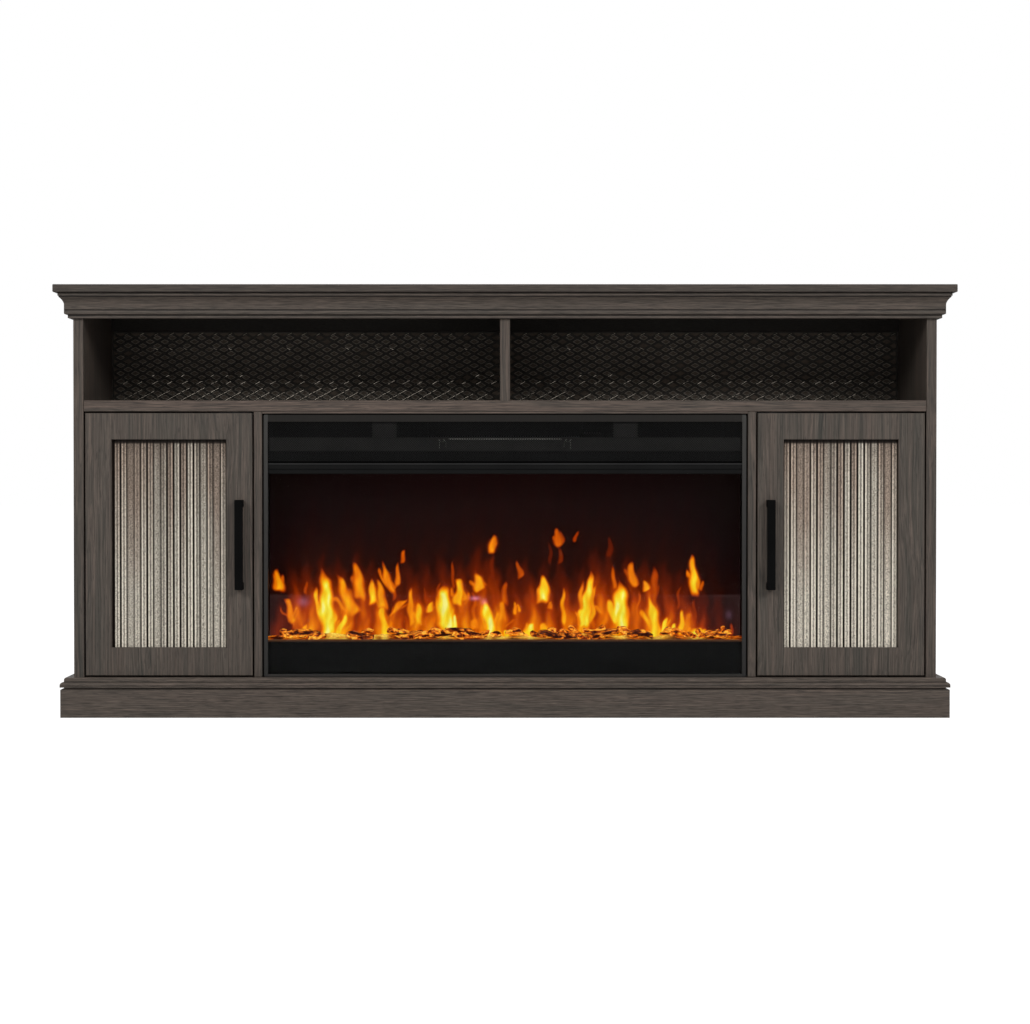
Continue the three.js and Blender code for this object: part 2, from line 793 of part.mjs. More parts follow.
// The cranked arm on its mounting plate on the end panel, drawn in plan. Its nose reaches into the
// pan, close to the far wall, and stands far enough from the near wall for the door to swing away.
function hingeArm(side, z) {
  const x = (distance) => side * (sideInnerX - distance);
  const panReach = Math.sqrt((cupRadius - cupWall) ** 2 - (armHeight / 2) ** 2);
  const noseFar = sideInnerX - cupCentreX + panReach - 2 * fit;
  const noseFrontY = doorBackY - noseIntrusion;
  const noseBackY = noseFrontY + noseLength;
  const mount = [mountThickness - fit, doorBackY + armLength];
  const arm = polygon([
    [x(noseNear), noseFrontY],
    [x(noseFar), noseFrontY],
    [x(noseFar), noseBackY],
    [x(armRoot), doorBackY + armCrank],
    [x(armRoot), mount[1]],
    [x(mount[0]), mount[1]],
    [x(mount[0]), doorBackY + armCrank],
    [x(noseNear), noseBackY],
  ]);
  const plate = block(
    span(side, sideInnerX - mountThickness, sideInnerX - fit),
    [mount[1] - mountLength, mount[1]],
    [z - mountHeight / 2, z + mountHeight / 2],
  );
  return join(extrude(arm, 'z', [z - armHeight / 2, z + armHeight / 2]), plate);
}

// The insert's front: frame, glass, glass trim, lower fascia, outlet mesh and deflector.
function addInsertFront() {
  const opening = rectangle([-frameInnerX, frameInnerX], frameInnerZ);
  const lip = roundedRectangle([-insertHalf, insertHalf], [insertBottomZ, insertTopZ], frameCorner);
  lip.holes.push(opening);
  const wall = roundedRectangle([-insertHalf, insertHalf], [insertBottomZ, insertTopZ], frameCorner);
  wall.holes.push(rectangle([-rebateX, rebateX], rebateZ));
  addPiece('insert_trim_frame', join(
    extrude(lip, 'y', [insertFrontY, insertFrontY + frameLip], arris),
    extrude(wall, 'y', [insertFrontY + frameLip / 2, frameBackY]),
  ), charcoalFinish);

  const fittedX = [-rebateX + fit, rebateX - fit];
  const fittedBottomZ = rebateZ[0] + fit;
  addPiece('front_glass', block(
    fittedX,
    [glassFrontY, glassBackY],
    [fittedBottomZ, trimZ[0] + trimSlotDepth - fit],
  ), darkGlassFinish);
  addPiece('glass_top_trim', extrude(glassTrimOutline(), 'x', fittedX), charcoalFinish);
  addPiece('lower_fascia', block(
    fittedX,
    [glassBackY + fit, glassBackY + fit + fasciaSheet],
    [fittedBottomZ, fasciaTopZ],
  ), blackMetalFinish);
  addPiece('outlet_mesh', diamondMesh(
    fittedX,
    [lipBackY, lipBackY + outletMeshThickness],
    [trimZ[1] + fit, rebateZ[1] - fit],
    {
      rim: frameWall,
      strand: outletMeshStrand,
      cellWidth: outletCellWidth,
      cellHeight: outletCellHeight,
    },
  ), blackMetalFinish);
  addPiece('outlet_deflector', outletDeflector(), charcoalFinish);
}

// Section of the stepped trim that caps the glass, with the slot that the glass stands in.
function glassTrimOutline() {
  const frontY = lipBackY;
  const backY = frameBackY;
  const slotTopZ = trimZ[0] + trimSlotDepth;
  const step = (trimZ[1] - trimZ[0]) / 4;
  const relief = glassSetback / 2;
  return polygon([
    [frontY + relief / 2, trimZ[0]],
    [glassFrontY - fit, trimZ[0]],
    [glassFrontY - fit, slotTopZ],
    [glassBackY + fit, slotTopZ],
    [glassBackY + fit, slotTopZ - step / 2],
    [backY, slotTopZ - step / 2],
    [backY, trimZ[1]],
    [frontY, trimZ[1]],
    [frontY, trimZ[1] - step / 2],
    [frontY + relief, trimZ[1] - step / 2],
    [frontY + relief, trimZ[1] - 2 * step],
    [frontY + relief / 2, trimZ[1] - 2 * step],
  ]);
}

// The strip behind the outlet mesh: two tabs hang it from the top, its foot turns back into the duct,
// and a bent wire guard is clipped across its middle.
function outletDeflector() {
  const frontY = lipBackY + deflectorSetback;
  const topZ = insertTopZ - deflectorBelowFrame;
  const bottomZ = topZ - deflectorHeight;
  const strip = polygon([
    [frontY, bottomZ],
    [frontY + deflectorReturn, bottomZ - deflectorReturn / 2],
    [frontY + deflectorReturn, bottomZ - deflectorReturn / 2 + sheet],
    [frontY + sheet, bottomZ + sheet],
    [frontY + sheet, topZ],
    [frontY, topZ],
  ]);
  const stripX = [-frameInnerX + sheet, frameInnerX - sheet];
  const tabs = [-1, 1].map((side) => block(
    span(side, tabOffset - tabWidth / 2, tabOffset + tabWidth / 2),
    [frontY, frontY + sheet],
    [topZ - sheet, rebateZ[1] - fit],
  ));
  const half = wireSpan / 2;
  const shoulder = half - wireShoulder;
  const route = [
    [-half, frontY, bottomZ + wireRadius],
    [-half, frontY - wireRadius / 2, bottomZ + wireRise / 2],
    [-shoulder, frontY - wireRadius / 2, bottomZ + wireRise],
    [0, frontY - wireRadius / 2, bottomZ + wireRise],
    [shoulder, frontY - wireRadius / 2, bottomZ + wireRise],
    [half, frontY - wireRadius / 2, bottomZ + wireRise / 2],
    [half, frontY, bottomZ + wireRadius],
  ].map((point) => new THREE.Vector3(...point));
  const wire = new THREE.ExtrudeGeometry(roundSection(wireRadius, smallSides / 2), {
    steps: roundSides,
    bevelEnabled: false,
    extrudePath: new THREE.CatmullRomCurve3(route, false, 'centripetal'),
  });
  return join(extrude(strip, 'x', stripX), ...tabs, wire);
}

function roundSection(radius, sides) {
  const points = Array.from({ length: sides }, (_, i) => {
    const angle = (2 * Math.PI * i) / sides;
    return [radius * Math.cos(angle), radius * Math.sin(angle)];
  });
  return polygon(points);
}

// The folded steel box: open at the front, with the heater's deck, louvres, a bearing and the gland.
function insertHousing() {
  const outer = block([-housingOuterX, housingOuterX], [housingFrontY, housingBackY], housingZ);
  const inner = block(
    [-housingInnerX, housingInnerX],
    [housingFrontY - overrun, housingBackY - sheet],
    [innerFloorZ, innerCeilingZ],
  );
  const deck = block(
    [-housingOuterX + sheet / 2, housingOuterX - sheet / 2],
    [housingFrontY, housingBackY - sheet / 2],
    deckZ,
  );
  const bearing = round(
    'x',
    [housingInnerX - bearingLength, housingInnerX + sheet / 2],
    [screenY + reflectorBehindScreen, insertBottomZ + reflectorRise],
    bearingRadius,
  );
  const bearingBore = round(
    'x',
    [housingInnerX - bearingLength - overrun, housingInnerX],
    [screenY + reflectorBehindScreen, insertBottomZ + reflectorRise],
    reflectorShaftRadius + bearingClearance,
  );
  const glandAt = [housingInnerX - glandInset, innerFloorZ + glandInset];
  const gland = round('y', [housingBackY - sheet / 2, housingBackY + glandLength], glandAt, glandRadius);
  const glandHole = round(
    'y',
    [housingBackY - sheet - overrun, housingBackY + glandLength + overrun],
    glandAt,
    glandBore,
  );
  const louvres = [];
  for (let column = 0; column < louvreColumns; column += 1) {
    for (let row = 0; row < louvreRows; row += 1) {
      const centreX = (column - (louvreColumns - 1) / 2) * louvreColumnPitch;
      const topZ = innerCeilingZ - louvreTopInset - row * louvrePitch;
      louvres.push(block(
        [centreX - louvreWidth / 2, centreX + louvreWidth / 2],
        grown([housingBackY - sheet, housingBackY], overrun),
        [topZ - louvreHeight, topZ],
      ));
    }
  }
  const box = join(cut(outer, inner), deck, bearing, gland);
  return cut(box, bearingBore, glandHole, ...louvres);
}

// A low bed of embers with charred chips lying across it.
function emberBed() {
  const x = [-housingInnerX + fit, housingInnerX - fit];
  const y = [insertFrontY + emberFront, insertFrontY + emberBack];
  const floorZ = innerFloorZ + fit;
  const baseZ = fasciaTopZ - chipRadius / 2;
  const [columns, rows] = [emberColumns, emberRows];
  const bedZ = (u, v) => {
    const ripple = Math.sin(u * emberWaves.short) + Math.sin(u * emberWaves.long + v * emberWaves.across);
    return baseZ + emberCrest * (emberSwellShare + emberRippleShare * ripple) * Math.sin(Math.PI * v);
  };
  const positions = [];
  const faces = [];
  const top = (column, row) => column * (rows + 1) + row;
  const bottom = (column, row) => top(column, row) + (columns + 1) * (rows + 1);
  for (const level of ['top', 'bottom']) {
    for (let column = 0; column <= columns; column += 1) {
      for (let row = 0; row <= rows; row += 1) {
        const [u, v] = [column / columns, row / rows];
        const z = level === 'top' ? bedZ(u, v) : floorZ;
        positions.push(THREE.MathUtils.lerp(x[0], x[1], u), THREE.MathUtils.lerp(y[0], y[1], v), z);
      }
    }
  }
  for (let column = 0; column < columns; column += 1) {
    for (let row = 0; row < rows; row += 1) {
      const [a, b, c, d] = [[0, 0], [1, 0], [1, 1], [0, 1]].map(([i, j]) => top(column + i, row + j));
      const [e, f, g, h] = [[0, 0], [1, 0], [1, 1], [0, 1]].map(([i, j]) => bottom(column + i, row + j));
      faces.push([a, b, c], [a, c, d], [e, g, f], [e, h, g]);
    }
    for (const [row, turned] of [[0, false], [rows, true]]) {
      const [a, b] = [top(column, row), top(column + 1, row)];
      const [e, f] = [bottom(column, row), bottom(column + 1, row)];
      faces.push(...(turned ? [[a, b, f], [a, f, e]] : [[b, a, e], [b, e, f]]));
    }
  }
  for (let row = 0; row < rows; row += 1) {
    for (const [column, turned] of [[0, true], [columns, false]]) {
      const [a, b] = [top(column, row), top(column, row + 1)];
      const [e, f] = [bottom(column, row), bottom(column, row + 1)];
      faces.push(...(turned ? [[a, b, f], [a, f, e]] : [[b, a, e], [b, e, f]]));
    }
  }
  const chips = Array.from({ length: emberChips }, (_, i) => {
    const place = (i + 1 / 2) / emberChips;
    const centreX = THREE.MathUtils.lerp(x[0] + chipLength, x[1] - chipLength, place);
    const along = (centreX - x[0]) / (x[1] - x[0]);
    const across = 1 / 2 + chipSpreadShare * Math.sin(i * chipScatter.across);
    const thinEnd = chipRadius * chipTaperShare;
    const chip = new THREE.CylinderGeometry(thinEnd, chipRadius, chipLength, smallSides / 2);
    chip.rotateZ(Math.PI / 2 + chipAngles.pitch * Math.sin(i * chipScatter.pitch));
    chip.rotateY(chipAngles.roll * Math.sin(i * chipScatter.roll));
    chip.rotateX(Math.PI / 2);
    chip.rotateZ(chipAngles.yaw * Math.sin(i * chipScatter.yaw));
    chip.translate(
      centreX,
      THREE.MathUtils.lerp(y[0], y[1], across),
      bedZ(along, across) + chipRadius / 4,
    );
    return chip;
  });
  return join(closedMesh(positions, faces), ...chips);
}

// The shaft with foil blades that throws the flicker on the back of the screen.
function flameReflector() {
  const centre = [screenY + reflectorBehindScreen, insertBottomZ + reflectorRise];
  const ends = [
    -housingInnerX + reflectorMotorLength / 2,
    housingInnerX - bearingLength / 2,
  ];
  const shaft = round('x', ends, centre, reflectorShaftRadius);
  const stretch = grown(ends, -reflectorEndClearance);
  const blades = Array.from({ length: reflectorBlades }, (_, i) => {
    const blade = new THREE.BoxGeometry(
      reflectorBladeLength,
      reflectorBladeWidth,
      reflectorBladeThickness,
    );
    blade.rotateX(i * reflectorBladeTurn);
    blade.translate(
      THREE.MathUtils.lerp(stretch[0], stretch[1], (i + 1 / 2) / reflectorBlades),
      centre[0],
      centre[1],
    );
    return blade;
  });
  return join(shaft, ...blades);
}

// A strip of lamps on the floor of the housing under the ember bed's back edge.
function lampBoard() {
  const centreY = screenY + reflectorBehindScreen;
  const y = grown([centreY, centreY], lampBoardWidth / 2);
  const z = [innerFloorZ + fit, innerFloorZ + fit + lampBoardThickness];
  const halfLength = frameInnerX - reflectorEndClearance;
  const lamps = Array.from({ length: lampCount }, (_, i) => {
    const centreX = THREE.MathUtils.lerp(-halfLength, halfLength, (i + 1 / 2) / lampCount);
    return block(
      grown([centreX, centreX], lampSize / 2),
      grown([centreY, centreY], lampSize / 2),
      [z[0] + lampBoardThickness / 2, z[1] + lampSize / 2],
    );
  });
  return join(block([-halfLength, halfLength], y, z), ...lamps);
}

function addFlamePicture() {
  addPiece('insert_housing', insertHousing(), blackMetalFinish);
  addPiece('ember_bed', emberBed(), emberFinish);
  addPiece('flame_screen', block(
    [-housingInnerX + fit, housingInnerX - fit],
    [screenY, screenY + screenThickness],
    [innerFloorZ + fit, deckZ[0] - fit],
  ), darkGlassFinish);
  addPiece('flame_reflector', flameReflector(), steelFinish);
  addPiece('reflector_motor', round(
    'x',
    [-housingInnerX + fit, -housingInnerX + fit + reflectorMotorLength],
    [screenY + reflectorBehindScreen, insertBottomZ + reflectorRise],
    reflectorMotorRadius,
    roundSides,
    reflectorShaftRadius + bearingClearance,
  ), steelFinish);
  addPiece('lamp_board', lampBoard(), plasticFinish);
}

// The cross-flow wheel: three discs on a shaft, with bowed blades let into their rims.
function blowerWheel(centre) {
  const half = wheelLength / 2;
  const bladeTop = wheelRadius - wheelDiscThickness / 2;
  const bladeFoot = bladeTop - wheelBladeDepth;
  const discs = [-1, 0, 1].map((place) => {
    const centreX = place * (half - wheelDiscThickness / 2);
    const disc = [centreX - wheelDiscThickness / 2, centreX + wheelDiscThickness / 2];
    return round('x', disc, centre, wheelRadius, roundSides);
  });
  const shaftX = [-half - fanShaftStub(), half + fanShaftStub() + fanMotorLength / 2];
  const shaft = round('x', shaftX, centre, wheelShaftRadius);
  const face = Array.from({ length: wheelBladeSteps + 1 }, (_, i) => [
    bladeFoot + (wheelBladeDepth * i) / wheelBladeSteps,
    wheelBladeBow * Math.sin((Math.PI * i) / wheelBladeSteps),
  ]);
  const back = [...face].reverse().map(([reach, bow]) => [reach, bow - wheelBladeThickness]);
  const bladeX = grown([-half, half], -wheelDiscThickness / 2);
  const blades = Array.from({ length: wheelBlades }, (_, i) => {
    const blade = extrude(polygon([...face, ...back]), 'x', bladeX);
    blade.rotateX((2 * Math.PI * i) / wheelBlades);
    blade.translate(0, centre[0], centre[1]);
    return blade;
  });
  return join(shaft, ...discs, ...blades);
}

// How far the wheel's shaft reaches past its end discs into the end plates' bearings.
function fanShaftStub() {
  return wheelGap + scrollSheet;
}

// Two end plates with the shaft's holes, the spiral guide behind the wheel and the tongue before it.
function blowerHousing(centre) {
  const plateX = wheelLength / 2 + wheelGap;
  const plateY = [centre[0] - fanPlateDepth / 2, centre[0] + fanPlateDepth / 2];
  const plateZ = [deckTopZ, innerCeilingZ - fit];
  const plates = [-1, 1].map((side) => block(span(side, plateX, plateX + scrollSheet), plateY, plateZ));
  const guideX = [-plateX - scrollSheet / 2, plateX + scrollSheet / 2];
  const sweepShares = Array.from({ length: 2 * arcSteps + 1 }, (_, i) => i / (2 * arcSteps));
  const place = (share, extra) => {
    const angle = scrollStartAngle - scrollSweepAngle * share;
    const reach = wheelRadius + wheelGap + scrollGrowth * share + extra;
    return [centre[0] + reach * Math.cos(angle), centre[1] + reach * Math.sin(angle)];
  };
  const guide = polygon([
    ...sweepShares.map((share) => place(share, 0)),
    ...[...sweepShares].reverse().map((share) => place(share, scrollSheet)),
  ]);
  const tongueY = [centre[0] - wheelRadius - wheelGap - scrollSheet, centre[0] - wheelRadius - wheelGap];
  const tongue = rectangle(tongueY, [centre[1] + wheelRadius / 2, innerCeilingZ - fit]);
  const holes = round('x', grown(guideX, overrun), centre, wheelShaftRadius + bearingClearance);
  return cut(join(plates[0], plates[1], extrude(guide, 'x', guideX), extrude(tongue, 'x', guideX)), holes);
}

// Heating block: a frame with rows of thin fins, open from back to front.
function heaterBlock() {
  const y = [insertFrontY + heaterSetback, insertFrontY + heaterSetback + heaterDepth];
  const x = [-heaterWidth / 2, heaterWidth / 2];
  const z = [deckTopZ, deckTopZ + heaterHeight];
  const gaps = [];
  const gapWidth = (heaterWidth - heaterBar * (heaterFinGaps + 1)) / heaterFinGaps;
  const gapHeight = (heaterHeight - heaterBar * (heaterRows + 1)) / heaterRows;
  for (let i = 0; i < heaterFinGaps; i += 1) {
    const lowX = x[0] + heaterBar + i * (gapWidth + heaterBar);
    for (let row = 0; row < heaterRows; row += 1) {
      const lowZ = z[0] + heaterBar + row * (gapHeight + heaterBar);
      gaps.push(block([lowX, lowX + gapWidth], grown(y, overrun), [lowZ, lowZ + gapHeight]));
    }
  }
  return cut(block(x, y, z), mergeGeometries(gaps));
}

function addFanHeater() {
  const centre = [insertFrontY + wheelSetback, (deckTopZ + innerCeilingZ) / 2];
  const motorX = wheelLength / 2 + wheelGap + scrollSheet + fit;
  addPiece('heater_element', heaterBlock(), ceramicFinish);
  addPiece('blower_wheel', blowerWheel(centre), steelFinish);
  addPiece('blower_housing', blowerHousing(centre), steelFinish);
  addPiece('blower_motor', round(
    'x',
    [motorX, motorX + fanMotorLength],
    centre,
    fanMotorRadius,
    roundSides,
    wheelShaftRadius + bearingClearance,
  ), plasticFinish);
}

addCase();
addMoulding('crown', mouldingOutline(
  crownShares,
  crownProjection,
  topUnderZ - fit,
  topUnderZ - crownHeight,
), woodEdgeFinish);
addMoulding('base_moulding', mouldingOutline(
  baseMouldingShares,
  baseMouldingProjection,
  plinthHeight + fit,
  bottomTopZ,
), woodFinish);
addMoulding('plinth', plinthOutline(), woodFinish);
addDoor('left', -1);
addDoor('right', 1);
addInsertFront();
addFlamePicture();
addFanHeater();

export default stand;
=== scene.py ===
import math
import random
from collections import namedtuple

import bpy
import numpy as np
from bpy.props import FloatProperty, FloatVectorProperty, IntProperty, PointerProperty
from mathutils import Matrix, Vector, noise


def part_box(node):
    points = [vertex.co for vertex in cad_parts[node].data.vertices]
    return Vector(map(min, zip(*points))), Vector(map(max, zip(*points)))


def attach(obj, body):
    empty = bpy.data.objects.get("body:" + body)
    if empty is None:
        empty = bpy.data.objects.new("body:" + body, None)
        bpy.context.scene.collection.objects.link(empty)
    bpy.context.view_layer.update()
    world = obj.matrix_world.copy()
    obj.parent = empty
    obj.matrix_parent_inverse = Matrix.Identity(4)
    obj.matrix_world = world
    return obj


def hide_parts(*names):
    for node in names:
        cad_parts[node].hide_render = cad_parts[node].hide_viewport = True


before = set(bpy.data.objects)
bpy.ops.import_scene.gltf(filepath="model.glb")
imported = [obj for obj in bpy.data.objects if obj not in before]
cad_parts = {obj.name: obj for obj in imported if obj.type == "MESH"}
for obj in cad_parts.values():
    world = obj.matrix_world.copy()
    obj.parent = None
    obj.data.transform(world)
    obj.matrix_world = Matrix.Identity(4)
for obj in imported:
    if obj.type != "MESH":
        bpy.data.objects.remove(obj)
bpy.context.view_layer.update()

bl_info = {
    "name": "Fireplace TV stand",
    "version": (1, 0, 0),
    "blender": (4, 5, 0),
    "location": "3D View > Sidebar > Fireplace stand",
    "description": "Finishes and fine parts of a TV stand with an electric fireplace",
    "category": "Object",
}

SEED = 7
MM = 0.001

# The photograph's frame in pixels, the camera's focal length in those pixels, and its horizon
PHOTO_WIDTH = 1030
CENTRE_COLUMN = 505
HORIZON_ROW = 471.2
FOCAL_PIXELS = 2577
CAMERA_Y = -5.276
CAMERA_Z = 0.487
SENSOR_MM = 36
CAMERA_TILT = math.radians(0.91)

SIDES = {"left": -1, "right": 1}
LEVELS = ("lower", "upper")


def linear(hex_colour):
    """Turns an sRGB hex colour into the linear RGBA that shaders and lamps take."""
    channels = [int(hex_colour[i : i + 2], 16) / 255 for i in (1, 3, 5)]
    return tuple(c / 12.92 if c <= 0.04045 else ((c + 0.055) / 1.055) ** 2.4 for c in channels) + (1.0,)


def colour_property(name, description, hex_colour):
    """A colour that a user would change."""
    return FloatVectorProperty(
        name=name, description=description, subtype="COLOR", size=4, min=0, max=1, default=linear(hex_colour)
    )


def length_property(name, description, millimetres):
    """A length that a user would change."""
    return FloatProperty(name=name, description=description, default=millimetres * MM, unit="LENGTH")


# Settings that a user would change

class StandBoardSettings(bpy.types.PropertyGroup):
    """Looks of the laminated boards."""

    grey: colour_property("Grey grain", "Grey streaks of the printed oak grain", "#48453f")
    brown: colour_property("Brown grain", "Brown streaks of the printed oak grain", "#5e5149")
    pore: colour_property("Pores", "Dark pores of the printed grain", "#332e2b")
    streak_width: length_property("Streak width", "Width of one streak of the grain", 3.2)


class StandMeshSettings(bpy.types.PropertyGroup):
    """Sizes of the expanded metal and of the outlet's woven mesh."""

    bay_pitch_x: length_property("Diamond width", "Long way of a diamond in the media bay", 31.3)
    bay_pitch_z: length_property("Diamond height", "Short way of a diamond in the media bay", 16.8)
    bay_strand: length_property("Strand width", "Width of a strand of the expanded metal", 5.0)
    outlet_pitch: length_property("Outlet pitch", "Distance between the wires of the outlet mesh", 4.8)
    outlet_wire: length_property("Outlet wire", "Width of a wire of the outlet mesh", 1.15)


class StandDoorSettings(bpy.types.PropertyGroup):
    """Looks of the reeded glass and the handles."""

    reeds: IntProperty(name="Reeds", description="Reeds across one pane", default=17, min=1)
    reed_depth: length_property("Reed depth", "Height of a reed over its valleys", 1.4)
    cream: colour_property("Glass", "The frosted film that shows through the reeds", "#f9efdd")
    # The valley colour is painted shade between the reeds
    valley: colour_property("Valley", "The dark line between two reeds", "#1d1815")


class StandFireSettings(bpy.types.PropertyGroup):
    """Looks of the flame picture and the ember bed."""

    brightness: FloatProperty(name="Brightness", description="Strength of the flames", default=1.0, min=0)
    chips: IntProperty(name="Chips", description="Charred chips on the ember bed", default=54, min=0)
    cell: length_property("Picture cell", "Size of one cell of the flame picture", 2)


SETTINGS = {
    "stand_boards": StandBoardSettings,
    "stand_mesh": StandMeshSettings,
    "stand_doors": StandDoorSettings,
    "stand_fire": StandFireSettings,
}


# Materials

def add_node(tree, kind, inputs=(), output=0, stops=(), **settings):
    """Adds one node: its settings, its sockets' values or the sockets that feed them, and its ramp's stops.
    Returns the socket of one output."""
    made = tree.nodes.new(f"ShaderNode{kind}")
    for name, value in settings.items():
        setattr(made, name, value)
    for name, value in inputs.items() if isinstance(inputs, dict) else enumerate(inputs):
        if isinstance(value, bpy.types.NodeSocket):
            tree.links.new(value, made.inputs[name])
        else:
            made.inputs[name].default_value = value
    for i, (place, colour) in enumerate(stops):
        elements = made.color_ramp.elements
        element = elements[i] if i < 2 else elements.new(place)
        element.position = place
        element.color = linear(colour) if isinstance(colour, str) else (colour, colour, colour, 1)
    return made.outputs[output]


# Settings of the nodes that mix two colours. Their sockets are 0 for the share and 6 and 7 for the colours,
# and their result is output 2. A mix of two values takes 2 and 3 instead, and its result is output 0.
MIXED = {"data_type": "RGBA", "blend_type": "MIX"}
MULTIPLIED = {"data_type": "RGBA", "blend_type": "MULTIPLY"}


def new_material(name):
    """Makes a node material and returns it with its node tree and the place on the piece."""
    material = bpy.data.materials.new(name)
    material.use_nodes = True
    tree = material.node_tree
    return material, tree, add_node(tree, "TexCoord", output="Object")


def set_shader(material, links, bump=None, **values):
    """Sets the plain values of a material's shader, feeds its other sockets and returns the material.
    bump: the height, its reach in mm and its strength."""
    tree = material.node_tree
    shader = tree.nodes["Principled BSDF"]
    for name, value in values.items():
        shader.inputs[name.replace("_", " ")].default_value = value
    if bump:
        height, reach_mm, strength = bump
        sizes = {"Height": height, "Distance": reach_mm * MM, "Strength": strength}
        links = {**links, "Normal": add_node(tree, "Bump", sizes)}
    for name, socket in links.items():
        tree.links.new(socket, shader.inputs[name])
    return material


def streaks(tree, place, along, across_mm, along_mm, detail=3.0, shift=0.0):
    """Noise drawn out along one axis, from the real width and length of its streaks."""
    scale = [1000 / across_mm] * 3
    scale[along] = 1000 / along_mm
    drawn_out = add_node(tree, "Mapping", {"Vector": place, "Scale": scale, "Location": (shift,) * 3})
    settings = {"Vector": drawn_out, "Scale": 1.0, "Detail": detail, "Roughness": 0.55}
    return add_node(tree, "TexNoise", settings)


def shaded(tree, colour, value, stops):
    """A colour made darker or paler as a value rises: the stops say by how much."""
    shade = add_node(tree, "ValToRGB", (value,), stops=stops)
    return add_node(tree, "Mix", {0: 1.0, 6: colour, 7: shade}, 2, **MULTIPLIED)


def share_of(tree, value, start, span):
    """How far a value lies past its start, as a share of a span."""
    past = add_node(tree, "Math", (value, start), operation="SUBTRACT")
    return add_node(tree, "Math", (past, span), operation="DIVIDE")


def painted_quirk_shade(tree, colour, reach_mm, depth):
    """Darkens a colour in narrow recesses where light hardly comes: painted shade, by how open each point is.
    """
    reach = {"Distance": reach_mm * MM}
    openness = add_node(tree, "AmbientOcclusion", reach, "AO", samples=6, only_local=True)
    return shaded(tree, colour, openness, ((0.42, 1 - depth), (0.85, 1)))


def oak_laminate(name, along, warmth, painted_lightness, long_grain, hue_spread, depth=0.54, quirks=False):
    """Melamine paper printed with grey oak and pressed with a fine grain: low sheen, streaks of grey and
    brown a few millimetres wide, and short dark pores that catch little light. The grain runs along one
    axis; quirks asks for painted shade in narrow recesses."""
    boards = bpy.context.scene.stand_boards
    material, tree, place = new_material(name)
    width_mm = boards.streak_width / MM
    sway = streaks(tree, place, along, 90, 420, 2, 3.1)
    drift = add_node(tree, "Math", (sway, 0.035 * long_grain), operation="MULTIPLY")
    swayed = add_node(tree, "VectorMath", {0: place, 1: drift}, operation="ADD")
    bands = streaks(tree, swayed, along, width_mm * 9, 1600 * long_grain, 2, 1.7)
    fibres = streaks(tree, swayed, along, width_mm * (0.4 + 0.85 * long_grain), 420 * long_grain, 4)
    hairs = streaks(tree, swayed, along, width_mm * (0.35 + 0.2 * long_grain), 130 * long_grain, 3, 5.3)
    pores = streaks(tree, swayed, along, 1.6, 24, 1, 9.1)
    tone = add_node(tree, "Mix", {0: 0.6, 2: bands, 3: fibres})
    reach = 0.14 / hue_spread
    hue = add_node(tree, "ValToRGB", (tone,), stops=((0.5 - reach, 0), (0.5 + reach, 1)))
    hue = add_node(tree, "Math", (hue, warmth - 0.5), operation="ADD", use_clamp=True)
    colour = add_node(tree, "Mix", {0: hue, 6: tuple(boards.grey), 7: tuple(boards.brown)}, 2, **MIXED)
    mixed = add_node(tree, "Mix", {0: 0.6, 2: fibres, 3: hairs})
    # painted_lightness makes this copy of the print paler or darker: painted light and shade
    levels = ((0.34, (1 - depth) * painted_lightness), (0.66, (1 + 0.9 * depth) * painted_lightness))
    colour = shaded(tree, colour, mixed, levels)
    pore_mask = add_node(tree, "ValToRGB", (pores,), stops=((0.6, 0), (0.7, 0.6)))
    colour = add_node(tree, "Mix", {0: pore_mask, 6: colour, 7: tuple(boards.pore)}, 2, **MIXED)
    # Painted shade in the mouldings' narrow recesses
    if quirks:
        colour = painted_quirk_shade(tree, colour, 4, 0.85)
    roughness = add_node(tree, "ValToRGB", (hairs,), stops=((0.3, 0.5), (0.7, 0.62)))
    return set_shader(
        material,
        {"Base Color": colour, "Roughness": roughness},
        bump=(add_node(tree, "Math", (hairs, pore_mask), operation="SUBTRACT"), 0.12, 0.6),
        Specular_IOR_Level=0.25,
    )


def raw_board(name, hex_colour):
    """Thin hardboard painted dark on one face: matt, with the felted fibres just showing."""
    material, tree, place = new_material(name)
    felt = streaks(tree, place, 0, 2.2, 7, 4)
    clouds = streaks(tree, place, 0, 120, 260, 3, 4.0)
    light = add_node(tree, "Mix", {0: 0.4, 2: felt, 3: clouds})
    colour = shaded(tree, linear(hex_colour), light, ((0.3, 0.7), (0.7, 1.25)))
    return set_shader(
        material,
        {"Base Color": colour},
        bump=(felt, 0.15, 0.5),
        Roughness=0.75,
        Specular_IOR_Level=0.15,
    )


def powder_coat(name, hex_colour, roughness, specular, metallic=0.0):
    """Steel with a baked powder coat: an even dark colour with the fine pebble of fused powder. The
    pebble is really about 0.3 mm and is drawn coarser so that it shows."""
    material, tree, place = new_material(name)
    pebble = streaks(tree, place, 0, 0.9, 0.9, 2)
    clouds = streaks(tree, place, 0, 60, 90, 3, 2.0)
    colour = shaded(tree, linear(hex_colour), clouds, ((0.3, 0.86), (0.7, 1.14)))
    rough = add_node(tree, "ValToRGB", (pebble,), stops=((0.3, roughness - 0.07), (0.7, roughness + 0.07)))
    return set_shader(
        material,
        {"Base Color": colour, "Roughness": rough},
        bump=(pebble, 0.08, 0.4),
        Specular_IOR_Level=specular,
        Metallic=metallic,
    )


# Width of the insert's trim frame, and how far the painted glow of the embers reaches down the black band
FRAME_BAR = 8.5 * MM
PAINTED_GLOW_DROP = 8 * MM


